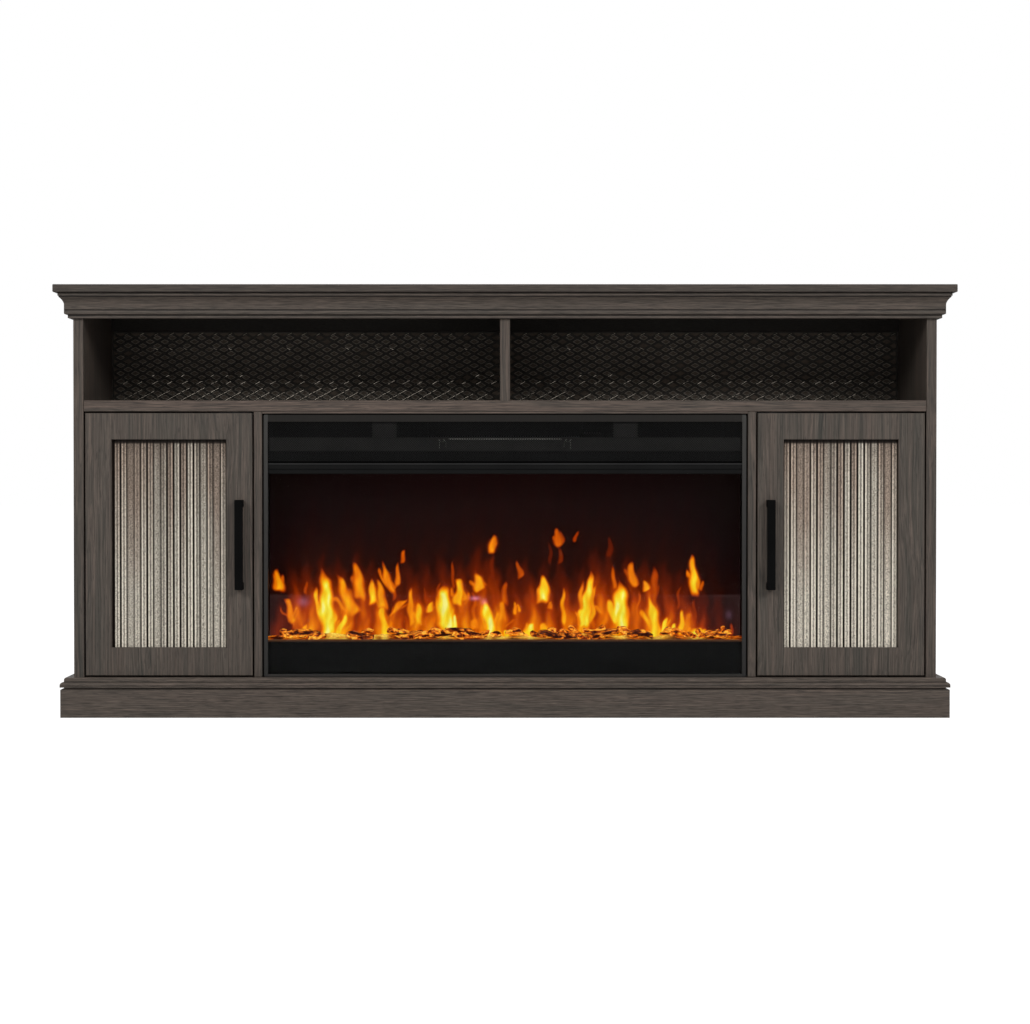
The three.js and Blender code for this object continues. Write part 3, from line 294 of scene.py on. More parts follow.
def satin_frame_painted_sheen(name):
    """Charcoal satin coat over steel bars brushed along their length, with painted sheen and shade: the
    upright bars are painted paler than the level ones, as if they sent the side light to the eye, with a
    clean change at the mitres, and each bar's tone is painted to change with height."""
    material, tree, place = new_material(name)
    axes = add_node(tree, "SeparateXYZ", (place,)).node.outputs
    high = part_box("insert_trim_frame")[1]
    reach = add_node(tree, "Math", (axes["X"],), operation="ABSOLUTE")
    upright = add_node(tree, "Math", (reach, high.x - FRAME_BAR), operation="GREATER_THAN")
    rise = add_node(tree, "Math", (axes["Z"], high.z), operation="DIVIDE")
    # Painted shade and sheen: level bars darker towards the top, upright bars paler towards the top
    level = add_node(tree, "ValToRGB", (rise,), stops=((0.0, "#3b3937"), (1.0, "#262422")))
    side = add_node(tree, "ValToRGB", (rise,), stops=((0.0, "#302f2e"), (1.0, "#42413f"), (0.5, "#383736")))
    colour = add_node(tree, "Mix", {0: upright, 6: level, 7: side}, 2, **MIXED)
    brushed = streaks(tree, place, 2, 0.8, 30, 2)
    colour = shaded(tree, colour, brushed, ((0.3, 0.88), (0.7, 1.12)))
    rough = add_node(tree, "ValToRGB", (brushed,), stops=((0.3, 0.38), (0.7, 0.5)))
    return set_shader(
        material,
        {"Base Color": colour, "Roughness": rough},
        bump=(brushed, 0.05, 0.4),
        Specular_IOR_Level=0.08,
    )


def enamel_with_painted_glow(name):
    """Black enamel on steel, even and dull; its top edge has a painted brown glow, emission that stands in
    for the embers' light above it.
    """
    material, tree, place = new_material(name)
    axes = add_node(tree, "SeparateXYZ", (place,)).node.outputs
    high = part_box("lower_fascia")[1]
    drop = share_of(tree, axes["Z"], high.z, -PAINTED_GLOW_DROP)
    # The painted glow: brown at the top edge, fading down the band
    stops = (0.0, "#5a3620"), (1.0, "#000000"), (0.5, "#362014"), (0.62, "#000000")
    glow = add_node(tree, "ValToRGB", (drop,), stops=stops)
    pebble = streaks(tree, place, 0, 1.2, 1.2, 2)
    colour = add_node(tree, "ValToRGB", (pebble,), stops=((0.3, "#0f0f0f"), (0.7, "#131313")))
    return set_shader(
        material,
        {"Base Color": colour, "Emission Color": glow},
        Roughness=0.5,
        Specular_IOR_Level=0.04,
        Emission_Strength=1.0,
    )


def rolled_steel(name, hex_colour, roughness):
    """Bright rolled or plated steel: metallic, with faint lines from the rollers."""
    material, tree, place = new_material(name)
    lines = streaks(tree, place, 0, 0.8, 60, 3)
    colour = shaded(tree, linear(hex_colour), lines, ((0.3, 0.82), (0.7, 1.1)))
    rough = add_node(tree, "ValToRGB", (lines,), stops=((0.3, roughness - 0.08), (0.7, roughness + 0.1)))
    return set_shader(material, {"Base Color": colour, "Roughness": rough}, Metallic=1.0)


def moulded_plastic(name, hex_colour):
    """ABS moulded in a spark-eroded tool: an even colour with a fine dull texture."""
    material, tree, place = new_material(name)
    grain = streaks(tree, place, 0, 0.7, 0.7, 2)
    colour = shaded(tree, linear(hex_colour), grain, ((0.3, 0.9), (0.7, 1.1)))
    return set_shader(
        material,
        {"Base Color": colour},
        bump=(grain, 0.05, 0.4),
        Roughness=0.45,
        Specular_IOR_Level=0.35,
    )


def toughened_glass(name):
    """Clear float glass with a low-reflection coat: it shows what is behind it with a faint gloss."""
    material, tree, place = new_material(name)
    smears = streaks(tree, place, 2, 60, 180, 3)
    rough = add_node(tree, "ValToRGB", (smears,), stops=((0.3, 0.0), (0.7, 0.02)))
    return set_shader(
        material,
        {"Roughness": rough},
        Base_Color=linear("#f4f6f5"),
        Transmission_Weight=1.0,
        IOR=1.03,
        Specular_IOR_Level=0.2,
    )


def random_colour(tree, number, shift):
    """A random colour for each whole number, and another one for another shift."""
    shifted = add_node(tree, "Math", (number, shift), operation="ADD")
    return add_node(tree, "TexWhiteNoise", {"W": shifted}, "Color", noise_dimensions="1D")


def reeded_glass(name, left_edge, pitch, painted_lightness):
    """Rolled glass with upright reeds over a frosted cream film, all painted in the colour: each reed's pale
    stripe and its two bright edges are painted light, its dark valley is painted shade, and the frosting
    speckles the stripes. The pane is painted darker towards its top, ending in a painted shadow band."""
    doors = bpy.context.scene.stand_doors
    material, tree, place = new_material(name)
    axes = add_node(tree, "SeparateXYZ", (place,)).node.outputs
    count = share_of(tree, axes["X"], left_edge, pitch)
    reed = add_node(tree, "Math", (count,), operation="FLOOR")
    across = add_node(tree, "Math", (count,), operation="FRACT")
    # Left of the first reed the colour is made black: the dark strip at the pane's edge
    past_dark_edge = add_node(tree, "Math", (count, 0.0), operation="GREATER_THAN")
    spread, edges = (
        add_node(tree, "SeparateColor", (random_colour(tree, reed, shift),)).node.outputs
        for shift in (0.0, 31.0)
    )
    # Each reed's stripe: painted light over its middle, painted shade in its valley
    body = (0.0, 0.0), (1.0, 0.0), (0.12, 0.0), (0.17, 0.32), (0.83, 0.32), (0.89, 0.0)
    stripe = add_node(tree, "ValToRGB", (across,), stops=body)
    # Two painted highlights on each reed, of random strength
    for side, (start, middle, end) in enumerate(((0.12, 0.27, 0.43), (0.57, 0.73, 0.88))):
        edge = (0.0, 0.0), (1.0, 0.0), (start, 0.0), (middle, 1.0), (end, 0.0)
        edge = add_node(tree, "ValToRGB", (across,), stops=edge)
        light = add_node(tree, "ValToRGB", (edges[side],), stops=((0.1, 0.4), (0.9, 1.6)))
        stripe = add_node(tree, "Math", (edge, light, stripe), operation="MULTIPLY_ADD")
    plain = add_node(tree, "ValToRGB", (across,), stops=((0.0, 0.33), (1.0, 0.33), (0.4, 0.6)))
    blurred = add_node(tree, "ValToRGB", (spread[0],), stops=((0.76, 0), (0.82, 0.85)))
    level = add_node(tree, "Mix", {0: blurred, 6: stripe, 7: plain}, 2, **MIXED)
    level = shaded(tree, level, spread[1], ((0.1, 0.8 * painted_lightness), (0.9, 1.1 * painted_lightness)))
    speckle = streaks(tree, place, 2, 1.5, 2.1, 3)
    level = shaded(tree, level, speckle, ((0.36, 0.4), (0.64, 1.5)))
    low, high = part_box("door_glass_left")
    rise = share_of(tree, axes["Z"], low.z, high.z - low.z)
    # Painted shade: darker towards the top, then a painted shadow band under the top of the opening
    painted_top_shade = (0.0, 1.08), (1.0, 0.02), (0.4, 0.92), (0.9, 0.66), (0.964, 0.5), (0.972, 0.02)
    level = shaded(tree, level, rise, painted_top_shade)
    level = add_node(tree, "Math", (level, past_dark_edge), operation="MULTIPLY")
    clouds = streaks(tree, place, 2, 26, 120, 2, 6.0)
    tint = add_node(tree, "Math", (clouds, spread[2]), operation="ADD")
    tint = add_node(tree, "Math", (tint, rise), operation="MULTIPLY")
    blush = add_node(tree, "ValToRGB", (tint,), stops=((0.35, 0), (0.95, 0.6)))
    cream = add_node(tree, "Mix", {0: blush, 6: tuple(doors.cream), 7: linear("#b48f7a")}, 2, **MIXED)
    colour = add_node(tree, "Mix", {0: level, 6: tuple(doors.valley), 7: cream}, 2, **MIXED)
    rough = add_node(tree, "ValToRGB", (speckle,), stops=((0.3, 0.3), (0.7, 0.45)))
    return set_shader(
        material,
        {"Base Color": colour, "Roughness": rough},
        bump=(speckle, 0.05, 0.35),
        Specular_IOR_Level=0.06,
    )


def flame_picture_light(name):
    """Translucent acrylic lit from behind: it glows with the flicker thrown on it, and is near black
    between the flames."""
    fire = bpy.context.scene.stand_fire
    material, tree, place = new_material(name)
    glow = add_node(tree, "Attribute", output="Color", attribute_name="Glow")
    haze = streaks(tree, place, 2, 9, 26, 3)
    colour = shaded(tree, glow, haze, ((0.25, 0.86), (0.75, 1.1)))
    return set_shader(
        material,
        {"Emission Color": colour},
        Base_Color=linear("#050303"),
        Roughness=0.6,
        Specular_IOR_Level=0.05,
        Emission_Strength=fire.brightness,
    )


def charred_resin(name, glow_stops, patch_mm, strength, lit=False):
    """Cast resin painted as charred wood and lit from below: burnt purple-brown ridges round tan and orange
    faces, with yellow light in the cracks."""
    material, tree, place = new_material(name)
    patches = streaks(tree, place, 0, patch_mm, patch_mm * 2.6, 3)
    fine = streaks(tree, place, 0, 1.6, 3.4, 3, 2.2)
    body = add_node(tree, "ValToRGB", (fine,), stops=((0.3, "#0a0506"), (0.75, "#3c1c14"), (0.52, "#1c0d0d")))
    glow = add_node(tree, "ValToRGB", (patches,), stops=glow_stops)
    if lit:
        mark = add_node(tree, "Attribute", output="Fac", attribute_name="Lit")
        flare = add_node(tree, "ValToRGB", (patches,), stops=((0.35, "#f08c0c"), (0.62, "#ffdc58")))
        glow = add_node(tree, "Mix", {0: mark, 6: glow, 7: flare}, 2, **MIXED)
        # Near the bed's front lip the glow is painted dimmer and browner: painted shade
        height = add_node(tree, "SeparateXYZ", {0: place}, "Z")
        rise = share_of(tree, height, BED_HEIGHT - MM, BED_LIP)
        glow = shaded(tree, glow, rise, ((0.0, "#3a1c10"), (1.0, 1)))
    glow = shaded(tree, glow, fine, ((0.34, 0.5), (0.62, 1.35)))
    return set_shader(
        material,
        {"Base Color": body, "Emission Color": glow},
        bump=(patches, 1.2, 0.8),
        Roughness=0.8,
        Specular_IOR_Level=0.05,
        Emission_Strength=strength,
    )


def fired_ceramic(name):
    """Heating block of aluminium fins on ceramic stones: grey, darkened and stained by heat."""
    material, tree, place = new_material(name)
    stain = streaks(tree, place, 0, 18, 30, 4)
    colour = add_node(tree, "ValToRGB", (stain,), stops=((0.3, "#1d1b19"), (0.7, "#2c2926")))
    return set_shader(material, {"Base Color": colour}, Roughness=0.6, Metallic=0.3)


def studio_floor(name):
    """White painted cove: matt and even. It glows a little to the camera alone, so that it stays white far
    from the lamps and keeps the object's soft shadow."""
    material, tree, place = new_material(name)
    clouds = streaks(tree, place, 0, 900, 900, 2)
    colour = add_node(tree, "ValToRGB", (clouds,), stops=((0.3, "#f6f6f6"), (0.7, "#fafafa")))
    camera_ray = add_node(tree, "LightPath", output="Is Camera Ray")
    seen = add_node(tree, "Math", (camera_ray, 0.85), operation="MULTIPLY")
    return set_shader(
        material,
        {"Base Color": colour, "Emission Strength": seen},
        Roughness=0.9,
        Specular_IOR_Level=0.0,
        Emission_Color=(1, 1, 1, 1),
    )


# Each finish: the function that makes its material, and that function's values in their order
FINISHES = {
    # The oak copies share one print: their lightness values are painted light and shade for each board
    "oak_upright": (oak_laminate, "Oak_laminate_upright_grain", 2, 0.5, 0.92, 1.0, 0.75),
    "oak_door": (oak_laminate, "Oak_laminate_door_grain", 2, 0.42, 0.99, 0.8, 0.65),
    "oak_level": (oak_laminate, "Oak_laminate_level_grain", 0, 0.55, 0.99, 0.25, 0.45, 0.65),
    "oak_top": (oak_laminate, "Oak_laminate_top_board", 0, 0.5, 0.67, 0.22, 0.35, 0.65),
    # The crown and base copies end in True: painted shade in their quirks
    "oak_crown": (oak_laminate, "Oak_laminate_crown", 0, 0.5, 0.93, 0.22, 0.35, 0.6, True),
    "oak_crown_end": (oak_laminate, "Oak_laminate_crown_end", 1, 0.5, 0.88, 0.22, 0.35, 0.7, True),
    "oak_edge": (oak_laminate, "Oak_laminate_shelf_edge", 0, 0.8, 0.92, 0.4, 0.8, 0.7),
    "oak_base": (oak_laminate, "Oak_laminate_base_moulding", 0, 0.55, 1.12, 0.22, 0.35, 0.7, True),
    "oak_deep": (oak_laminate, "Oak_laminate_end_run", 1, 0.5, 1.0, 0.25, 0.4, 0.7),
    "back_board": (raw_board, "Hardboard_painted_brown", "#6c6157"),
    "back_rail": (raw_board, "Hardboard_painted_black", "#35322f"),
    "mesh_black": (powder_coat, "Expanded_steel_black_coat", "#4d4a45", 0.55, 0.05),
    # Pale rings round the mesh's holes: painted highlights
    "mesh_rim_highlight": (powder_coat, "Expanded_steel_cut_edge", "#a39b90", 0.55, 0.1),
    # Pale bars along strands: painted glints
    "mesh_painted_glint": (powder_coat, "Expanded_steel_worn_edge", "#dccfbe", 0.3, 0.5, 0.6),
    "handle_black": (powder_coat, "Handle_steel_black_coat", "#0d0d0d", 0.6, 0.02),
    # Charcoal frame with painted sheen on its upright bars
    "frame_charcoal": (satin_frame_painted_sheen, "Frame_steel_charcoal_satin"),
    "trim_charcoal": (powder_coat, "Trim_steel_charcoal_satin", "#151515", 0.45, 0.05),
    # Paler charcoal for the bead: a painted highlight
    "bead_painted_highlight": (powder_coat, "Bead_steel_charcoal_satin", "#2b2b2b", 0.4, 0.1),
    # Black enamel with a painted glow of the embers along its top edge
    "fascia_black": (enamel_with_painted_glow, "Fascia_black_enamel"),
    "outlet_black": (powder_coat, "Outlet_mesh_black_coat", "#1d1d1d", 0.5, 0.03),
    "duct_grey": (powder_coat, "Deflector_grey_coat", "#3a3937", 0.5, 0.1),
    "housing_black": (powder_coat, "Housing_black_coat", "#181818", 0.5, 0.05),
    "steel": (rolled_steel, "Hinge_steel_nickel_plated", "#9a9b9c", 0.35),
    "wire": (powder_coat, "Guard_wire_dull_zinc", "#8a8983", 0.6, 0.15, 0.2),
    "zinc": (rolled_steel, "Fan_sheet_zinc_plated", "#85878a", 0.45),
    "plastic": (moulded_plastic, "ABS_black_moulded", "#181818"),
    "clear_glass": (toughened_glass, "Glass_toughened_clear"),
    # Near-black coat: the outlet mesh's rim, and the strips of painted shade in the gap round the insert
    "gasket": (powder_coat, "Foam_gasket_black", "#060606", 0.9, 0.01),
    "ceramic": (fired_ceramic, "Heater_fins_ceramic"),
}
_made_materials = {}


def finish_of(key):
    """The material for a finish, made once."""
    if key not in _made_materials:
        maker, *values = FINISHES[key]
        _made_materials[key] = maker(*values)
    return _made_materials[key]


def dress(key, *node_names):
    """Gives CAD nodes that keep their shape a finish."""
    for name in node_names:
        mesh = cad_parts[name].data
        mesh.materials.clear()
        mesh.materials.append(finish_of(key))


# Mesh making

FORWARD, BACKWARD = Vector((0, -1, 0)), Vector((0, 1, 0))


def new_piece(name, vertices, faces, finish, body, smooth_angle=None):
    """Makes one mesh piece that rides on a body. finish is one material, or a list its faces choose from."""
    mesh = bpy.data.meshes.new(name)
    mesh.from_pydata([tuple(v) for v in vertices], [], faces)
    for material in finish if isinstance(finish, list) else [finish]:
        mesh.materials.append(material)
    if smooth_angle is not None:
        mesh.polygons.foreach_set("use_smooth", [True] * len(mesh.polygons))
        mesh.set_sharp_from_angle(angle=math.radians(smooth_angle))
    mesh.update()
    piece = bpy.data.objects.new(name, mesh)
    bpy.context.scene.collection.objects.link(piece)
    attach(piece, body)
    return piece


def extruded(outline, start, end, axis="x"):
    """Vertices and faces of a closed outline run along an axis from start to end. The outline's points are
    (y, z) for the x axis and (x, y) for the z axis."""
    count = len(outline)
    vertices = [(w, u, v) if axis == "x" else (u, v, w) for w in (start, end) for u, v in outline]
    faces = [(i, (i + 1) % count, (i + 1) % count + count, i + count) for i in range(count)]
    faces += [tuple(reversed(range(count))), tuple(range(count, 2 * count))]
    return vertices, faces


def box_faces(first):
    """The six faces of a block whose eight corners start at one vertex: four below, then four above."""
    a = first
    return [
        (a, a + 3, a + 2, a + 1),
        (a + 4, a + 5, a + 6, a + 7),
        (a, a + 1, a + 5, a + 4),
        (a + 1, a + 2, a + 6, a + 5),
        (a + 2, a + 3, a + 7, a + 6),
        (a + 3, a, a + 4, a + 7),
    ]


def add_block(vertices, faces, low, high):
    """Adds a block between two opposite corners."""
    first = len(vertices)
    for z in (low[2], high[2]):
        for x, y in ((low[0], low[1]), (high[0], low[1]), (high[0], high[1]), (low[0], high[1])):
            vertices.append((x, y, z))
    faces += box_faces(first)


def add_bar(vertices, faces, start, end, across, thick, front_share=1.0):
    """Adds a flat bar between two points at the same depth; its front may be narrower than its back."""
    run = (end - start).normalized()
    side = Vector((-run.z, 0, run.x)) * across / 2
    depth = Vector((0, thick, 0))
    first = len(vertices)
    for point in (start, end):
        vertices += [
            point - side + depth,
            point + side + depth,
            point + side * front_share,
            point - side * front_share,
        ]
    faces += box_faces(first)


def clipped_line(x, z, start, slope):
    """The part inside a rectangle of the line through (start, lowest z) that climbs slope per unit of x."""
    ends = []
    for edge_x in x:
        height = z[0] + (edge_x - start) * slope
        if z[0] <= height <= z[1]:
            ends.append((edge_x, height))
    for edge_z in z:
        place = start + (edge_z - z[0]) / slope
        if x[0] < place < x[1]:
            ends.append((place, edge_z))
    return ends[:2] if len(ends) >= 2 and math.dist(ends[0], ends[1]) > MM else None


def diagonal_lines(x, z, pitch_x, pitch_z):
    """Both families of diagonals of a diamond mesh: for each line its two ends and its family."""
    slope = pitch_z / pitch_x
    reach = math.ceil((z[1] - z[0]) / pitch_z) * pitch_x
    count = math.ceil((x[1] - x[0] + reach) / pitch_x) + 1
    for family in (1, -1):
        for i in range(count):
            start = x[0] - reach + i * pitch_x if family > 0 else x[0] + i * pitch_x
            ends = clipped_line(x, z, start, slope * family)
            if ends:
                yield Vector((ends[0][0], 0, ends[0][1])), Vector((ends[1][0], 0, ends[1][1])), family


def tube_faces(rings, sides):
    """Faces of a closed tube whose rings of vertices follow each other."""
    faces = []
    for ring in range(rings - 1):
        for side in range(sides):
            a, b = ring * sides + side, ring * sides + (side + 1) % sides
            faces.append((a, b, b + sides, a + sides))
    return [*faces, tuple(reversed(range(sides))), tuple(range((rings - 1) * sides, rings * sides))]


def closed_grid(points, wide, foot):
    """Vertices and faces of a grid of points, given row by row with wide points in each, that is closed by
    walls and a flat back. foot turns a point of the rim into the one behind it."""
    first, last_row = len(points), len(points) - wide
    faces = [(a, a + 1, a + wide + 1, a + wide) for a in range(last_row) if a % wide < wide - 1]
    rim = [*range(wide), *range(2 * wide - 1, first, wide)]
    rim += [*range(first - 2, last_row - 1, -1), *range(last_row - wide, 0, -wide)]
    for i in range(len(rim)):
        j = (i + 1) % len(rim)
        faces.append((rim[i], first + i, first + j, rim[j]))
    faces.append(tuple(reversed(range(first, first + len(rim)))))
    return [*points, *(foot(points[i]) for i in rim)], faces


def tube(route, radius, sides):
    """Vertices and faces of a closed round tube along points."""
    vertices = []
    count = len(route)
    normal = BACKWARD
    for i, point in enumerate(route):
        run = (route[min(i + 1, count - 1)] - route[max(i - 1, 0)]).normalized()
        side = run.cross(normal).normalized()
        over = side.cross(run).normalized()
        normal = over
        for j in range(sides):
            angle = 2 * math.pi * j / sides
            vertices.append(point + (side * math.cos(angle) + over * math.sin(angle)) * radius)
    return vertices, tube_faces(count, sides)


Screw = namedtuple("Screw", "radius height recess")

BACK_SCREW = Screw(3.4 * MM, 0.1 * MM, 0.06 * MM)
HOUSING_SCREW = Screw(3.6 * MM, 2.0 * MM, 1.0 * MM)
HANDLE_SCREW = Screw(4 * MM, 2.2 * MM, 1.1 * MM)
CUP_SCREW = Screw(3.6 * MM, 1.6 * MM, 0.9 * MM)
PLATE_SCREW = Screw(3.8 * MM, 1.8 * MM, 1.0 * MM)
GUARD_BOLT = Screw(2.2 * MM, 0.9 * MM, 0.4 * MM)
# The recess, as shares of the head's radius: the reach of its arms and half their width
CROSS_REACH, CROSS_HALF = 0.62, 0.13


def screw_head(name, body, centre, outward, screw, finish="steel"):
    """A domed screw head with a cross recess, as a polar grid pushed in where the cross is."""
    radius, height, recess = screw
    rings, spokes = 7, 32
    angles = [2 * math.pi * i / spokes for i in range(spokes)]
    points = [(0, 0, height - recess)]
    for ring in range(1, rings + 1):
        share = ring / rings
        dome = height * (1 - 0.45 * share ** 3)
        for angle in angles:
            u, v = share * math.cos(angle), share * math.sin(angle)
            in_cross = share < CROSS_REACH and min(abs(u), abs(v)) < CROSS_HALF
            points.append((u * radius, v * radius, dome - (recess if in_cross else 0)))
    foot = len(points)
    points += [(radius * math.cos(angle), radius * math.sin(angle), 0) for angle in angles]
    turn = Vector((0, 0, 1)).rotation_difference(outward).to_matrix()
    vertices = [centre + turn @ Vector(point) for point in points]
    faces = [(0, 1 + i, 1 + (i + 1) % spokes) for i in range(spokes)]
    for ring in range(rings):
        for spoke in range(spokes):
            a, b = 1 + ring * spokes + spoke, 1 + ring * spokes + (spoke + 1) % spokes
            faces.append((a, a + spokes, b + spokes, b))
    faces.append(tuple(reversed(range(foot, foot + spokes))))
    new_piece(name, vertices, faces, finish_of(finish), body, 40)


# Boards and mouldings

# Sections of the mouldings, as shares of their projection and height: one pair is a straight run to
# it, two are a curve's pull and its end.
CROWN_SHARES = (
    [(0.86, 0)], [(0.86, 0.04)], [(0.98, 0.045)], [(0.98, 0.13)], [(0.84, 0.135)], [(0.84, 0.175)],
    [(0.91, 0.18)], [(0.6, 0.31), (0.56, 0.5)], [(0.545, 0.66)], [(0.465, 0.665)], [(0.465, 0.705)],
    [(0.545, 0.71)], [(0.6, 0.775), (0.555, 0.845)], [(0.38, 0.868)], [(0.28, 0.87)], [(0.28, 0.905)],
    [(0.335, 0.91)], [(0.335, 1)],
)
BASE_SHARES = (
    [(1, 0)], [(1, 0.1)], [(0.95, 0.13)], [(0.95, 0.26)], [(1, 0.29)], [(0.99, 0.42), (0.86, 0.52)],
    [(0.73, 0.53)], [(0.66, 0.535)], [(0.66, 0.565)], [(0.7, 0.57)], [(0.7, 0.88)], [(0.62, 1)],
)
MOULDING_STEPS = 16
# Clearance between a moulding and the case
BOARD_GAP = 0.3 * MM


def moulding_section(shares, projection, start_z, end_z):
    """Points (out from the case, height) of a moulding's face, its curves in fine steps."""
    points = []
    for entry in shares:
        if len(entry) == 1:
            points.append(entry[0])
            continue
        start, (pull, end) = points[-1], entry
        for i in range(1, MOULDING_STEPS + 1):
            t = i / MOULDING_STEPS
            parts = ((1 - t) ** 2, start), (2 * t * (1 - t), pull), (t ** 2, end)
            points.append(tuple(sum(part * point[axis] for part, point in parts) for axis in (0, 1)))
    return [(out * projection, start_z + (end_z - start_z) * down) for out, down in points]


def filled(section):
    """The same section with its quirks filled, stepping only inward from its widest part."""
    return [(max(out for out, _ in section[i:]), z) for i, (_, z) in enumerate(section)]


def wrap_moulding(name, prefix, shares, downward, front_finish, end_finish):
    """One smooth moulding round the front and both ends, over the plain ones of the frame. Its quirks are
    cut in the front run and stop at the mitres."""
    front_low, front_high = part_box(f"{prefix}_front")
    case_low, case_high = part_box("side_panel_left")[0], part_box("side_panel_right")[1]
    heights = (front_high.z, front_low.z) if downward else (front_low.z, front_high.z)
    face = moulding_section(shares, case_low.y - front_low.y, *heights)
    # The four corners of the wrap: where each lies on the case, and which way its section reaches out
    corners = (
        (case_low.x, case_high.y, -1, 0),
        (case_low.x, case_low.y, -1, -1),
        (case_high.x, case_low.y, 1, -1),
        (case_high.x, case_high.y, 1, 0),
    )
    vertices, faces, finishes = [], [], []
    for run, section in enumerate((filled(face), face, filled(face))):
        section = [(BOARD_GAP, section[0][1]), *section, (BOARD_GAP, section[-1][1])]
        first, count = len(vertices), len(section)
        for x, y, out_x, out_y in corners[run : run + 2]:
            vertices += [(x + out_x * out, y + out_y * out, z) for out, z in section]
        for i in range(count):
            j = (i + 1) % count
            faces.append((first + i, first + j, first + count + j, first + count + i))
        faces.append(tuple(range(first, first + count)))
        faces.append(tuple(reversed(range(first + count, first + 2 * count))))
        finishes += [0 if run == 1 else 1] * (count + 2)
    materials = [finish_of(front_finish), finish_of(end_finish)]
    piece = new_piece(name, vertices, faces, materials, "cabinet", 24)
    piece.data.polygons.foreach_set("material_index", finishes)
    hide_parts(*[f"{prefix}_{end}" for end in ("front", "left", "right")])


class STAND_OT_boards(bpy.types.Operator):
    """Gives the boards their laminate and makes the crown and base mouldings smooth"""

    bl_idname = "stand.boards"
    bl_label = "Boards and mouldings"

    def execute(self, context):
        upright = [f"{name}_{end}" for end in SIDES for name in ("side_panel", "inner_upright")]
        dress("oak_upright", *upright, "media_divider")
        dress("oak_top", "top_board")
        dress("oak_level", "bottom_board", "cabinet_shelf_left", "cabinet_shelf_right")
        dress("oak_level", "top_rail_front", "toe_rail_front", "toe_rail_back", "plinth_front")
        dress("oak_deep", "plinth_left", "plinth_right")
        dress("oak_edge", "media_shelf", "insert_head_strip")
        dress("back_board", "back_panel_left", "back_panel_right", "back_panel_upper")
        dress("back_rail", "back_rail")
        wrap_moulding("crown_moulding", "crown", CROWN_SHARES, True, "oak_crown", "oak_crown_end")
        wrap_moulding("base_moulding_wrap", "base_moulding", BASE_SHARES, False, "oak_base", "oak_deep")
        return {"FINISHED"}


# How far the lead's gland reaches out of the back of the housing, and the screws' inset from an edge
GLAND_LENGTH = 12 * MM
SCREW_INSET = 9 * MM
# Each back with its screws' names, how many stand in a row, how far they lie in from its last point, and kind
SCREWED_BACKS = {
    "back_panel_left": ("back_panel_left_screw", 3, 0, BACK_SCREW),
    "back_panel_right": ("back_panel_right_screw", 3, 0, BACK_SCREW),
    "back_panel_upper": ("back_panel_upper_screw", 7, 0, BACK_SCREW),
    "insert_housing": ("insert_screw", 6, GLAND_LENGTH, HOUSING_SCREW),
}


class STAND_OT_back_screws(bpy.types.Operator):
    """Fixes the back panels with flush screws and pins the insert's housing"""

    bl_idname = "stand.back_screws"
    bl_label = "Back screws"

    def execute(self, context):
        for node, (prefix, columns, sunk, screw) in SCREWED_BACKS.items():
            low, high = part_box(node)
            for i in range(columns):
                x = low.x + SCREW_INSET + (high.x - low.x - 2 * SCREW_INSET) * i / (columns - 1)
                for edge, z in (("foot", low.z + SCREW_INSET), ("head", high.z - SCREW_INSET)):
                    centre = Vector((x, high.y - sunk, z))
                    screw_head(f"{prefix}_{edge}_{i}", "cabinet", centre, BACKWARD, screw)
        return {"FINISHED"}


# Expanded metal in the media bay and the fine mesh of the outlet

MESH_RIM = 3 * MM
# The divider hides the middle of the media bay's mesh: the painted rim highlights and glints keep this far
# from it
RIM_HIGHLIGHTS_FROM_MIDDLE = 24 * MM
MARKS_FROM_MIDDLE = 14 * MM
RIM_HIGHLIGHT_ACROSS, RIM_HIGHLIGHT_THICK = 1.3 * MM, 0.4 * MM
MARK_THICK = 0.3 * MM
# Rows of painted glints lower than this are dashes, and higher ones are lines that fade to the right
DASH_HEIGHT = 9 * MM
# A line is broken into pieces of about this length
MARK_PIECE = 5 * MM


def diamond_sheet(name, node, sizes, finishes, front_share):
    """A sheet of crossing strands in a rim, in the space of its plain node. sizes: the two ways of a diamond
    and a strand's width. finishes: strands, then rim."""
    pitch_x, pitch_z, strand = sizes
    low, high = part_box(node)
    inset = MESH_RIM / 2
    x, z = (low.x + inset, high.x - inset), (low.z + inset, high.z - inset)
    thick = (high.y - low.y) * 0.9
    vertices, faces = [], []
    for start, end, family in diagonal_lines(x, z, pitch_x, pitch_z):
        # The falling strands lie a little behind the rising ones, so no two faces share a plane
        lift = Vector((0, low.y if family > 0 else low.y + thick * 0.08, 0))
        add_bar(vertices, faces, start + lift, end + lift, strand, thick, front_share)
    front = Vector((0, low.y, 0))
    corners = [Vector((x[i], 0, z[j])) for i, j in ((0, 0), (1, 0), (1, 1), (0, 1))]
    woven = len(faces)
    for i in range(4):
        add_bar(vertices, faces, corners[i] + front, corners[(i + 1) % 4] + front, MESH_RIM, thick)
    materials = [finish_of(key) for key in finishes]
    piece = new_piece(name, vertices, faces, materials, "cabinet")
    piece.data.polygons.foreach_set("material_index", [0 if i < woven else 1 for i in range(len(faces))])
    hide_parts(node)


def mesh_cells(pitch_x, pitch_z):
    """Middles of the diamonds of the media bay's mesh."""
    low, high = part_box("mesh_panel")
    inset = MESH_RIM / 2
    for row in range(1, int((high.z - low.z) / pitch_z * 2)):
        for column in range(int((high.x - low.x) / pitch_x) + 1):
            x = low.x + inset + (column + (row + 1) % 2 / 2) * pitch_x
            z = low.z + inset + row * pitch_z / 2
            if low.x + pitch_x / 2 < x < high.x - pitch_x / 2 and z + pitch_z / 2 < high.z:
                yield Vector((x, 0, z))


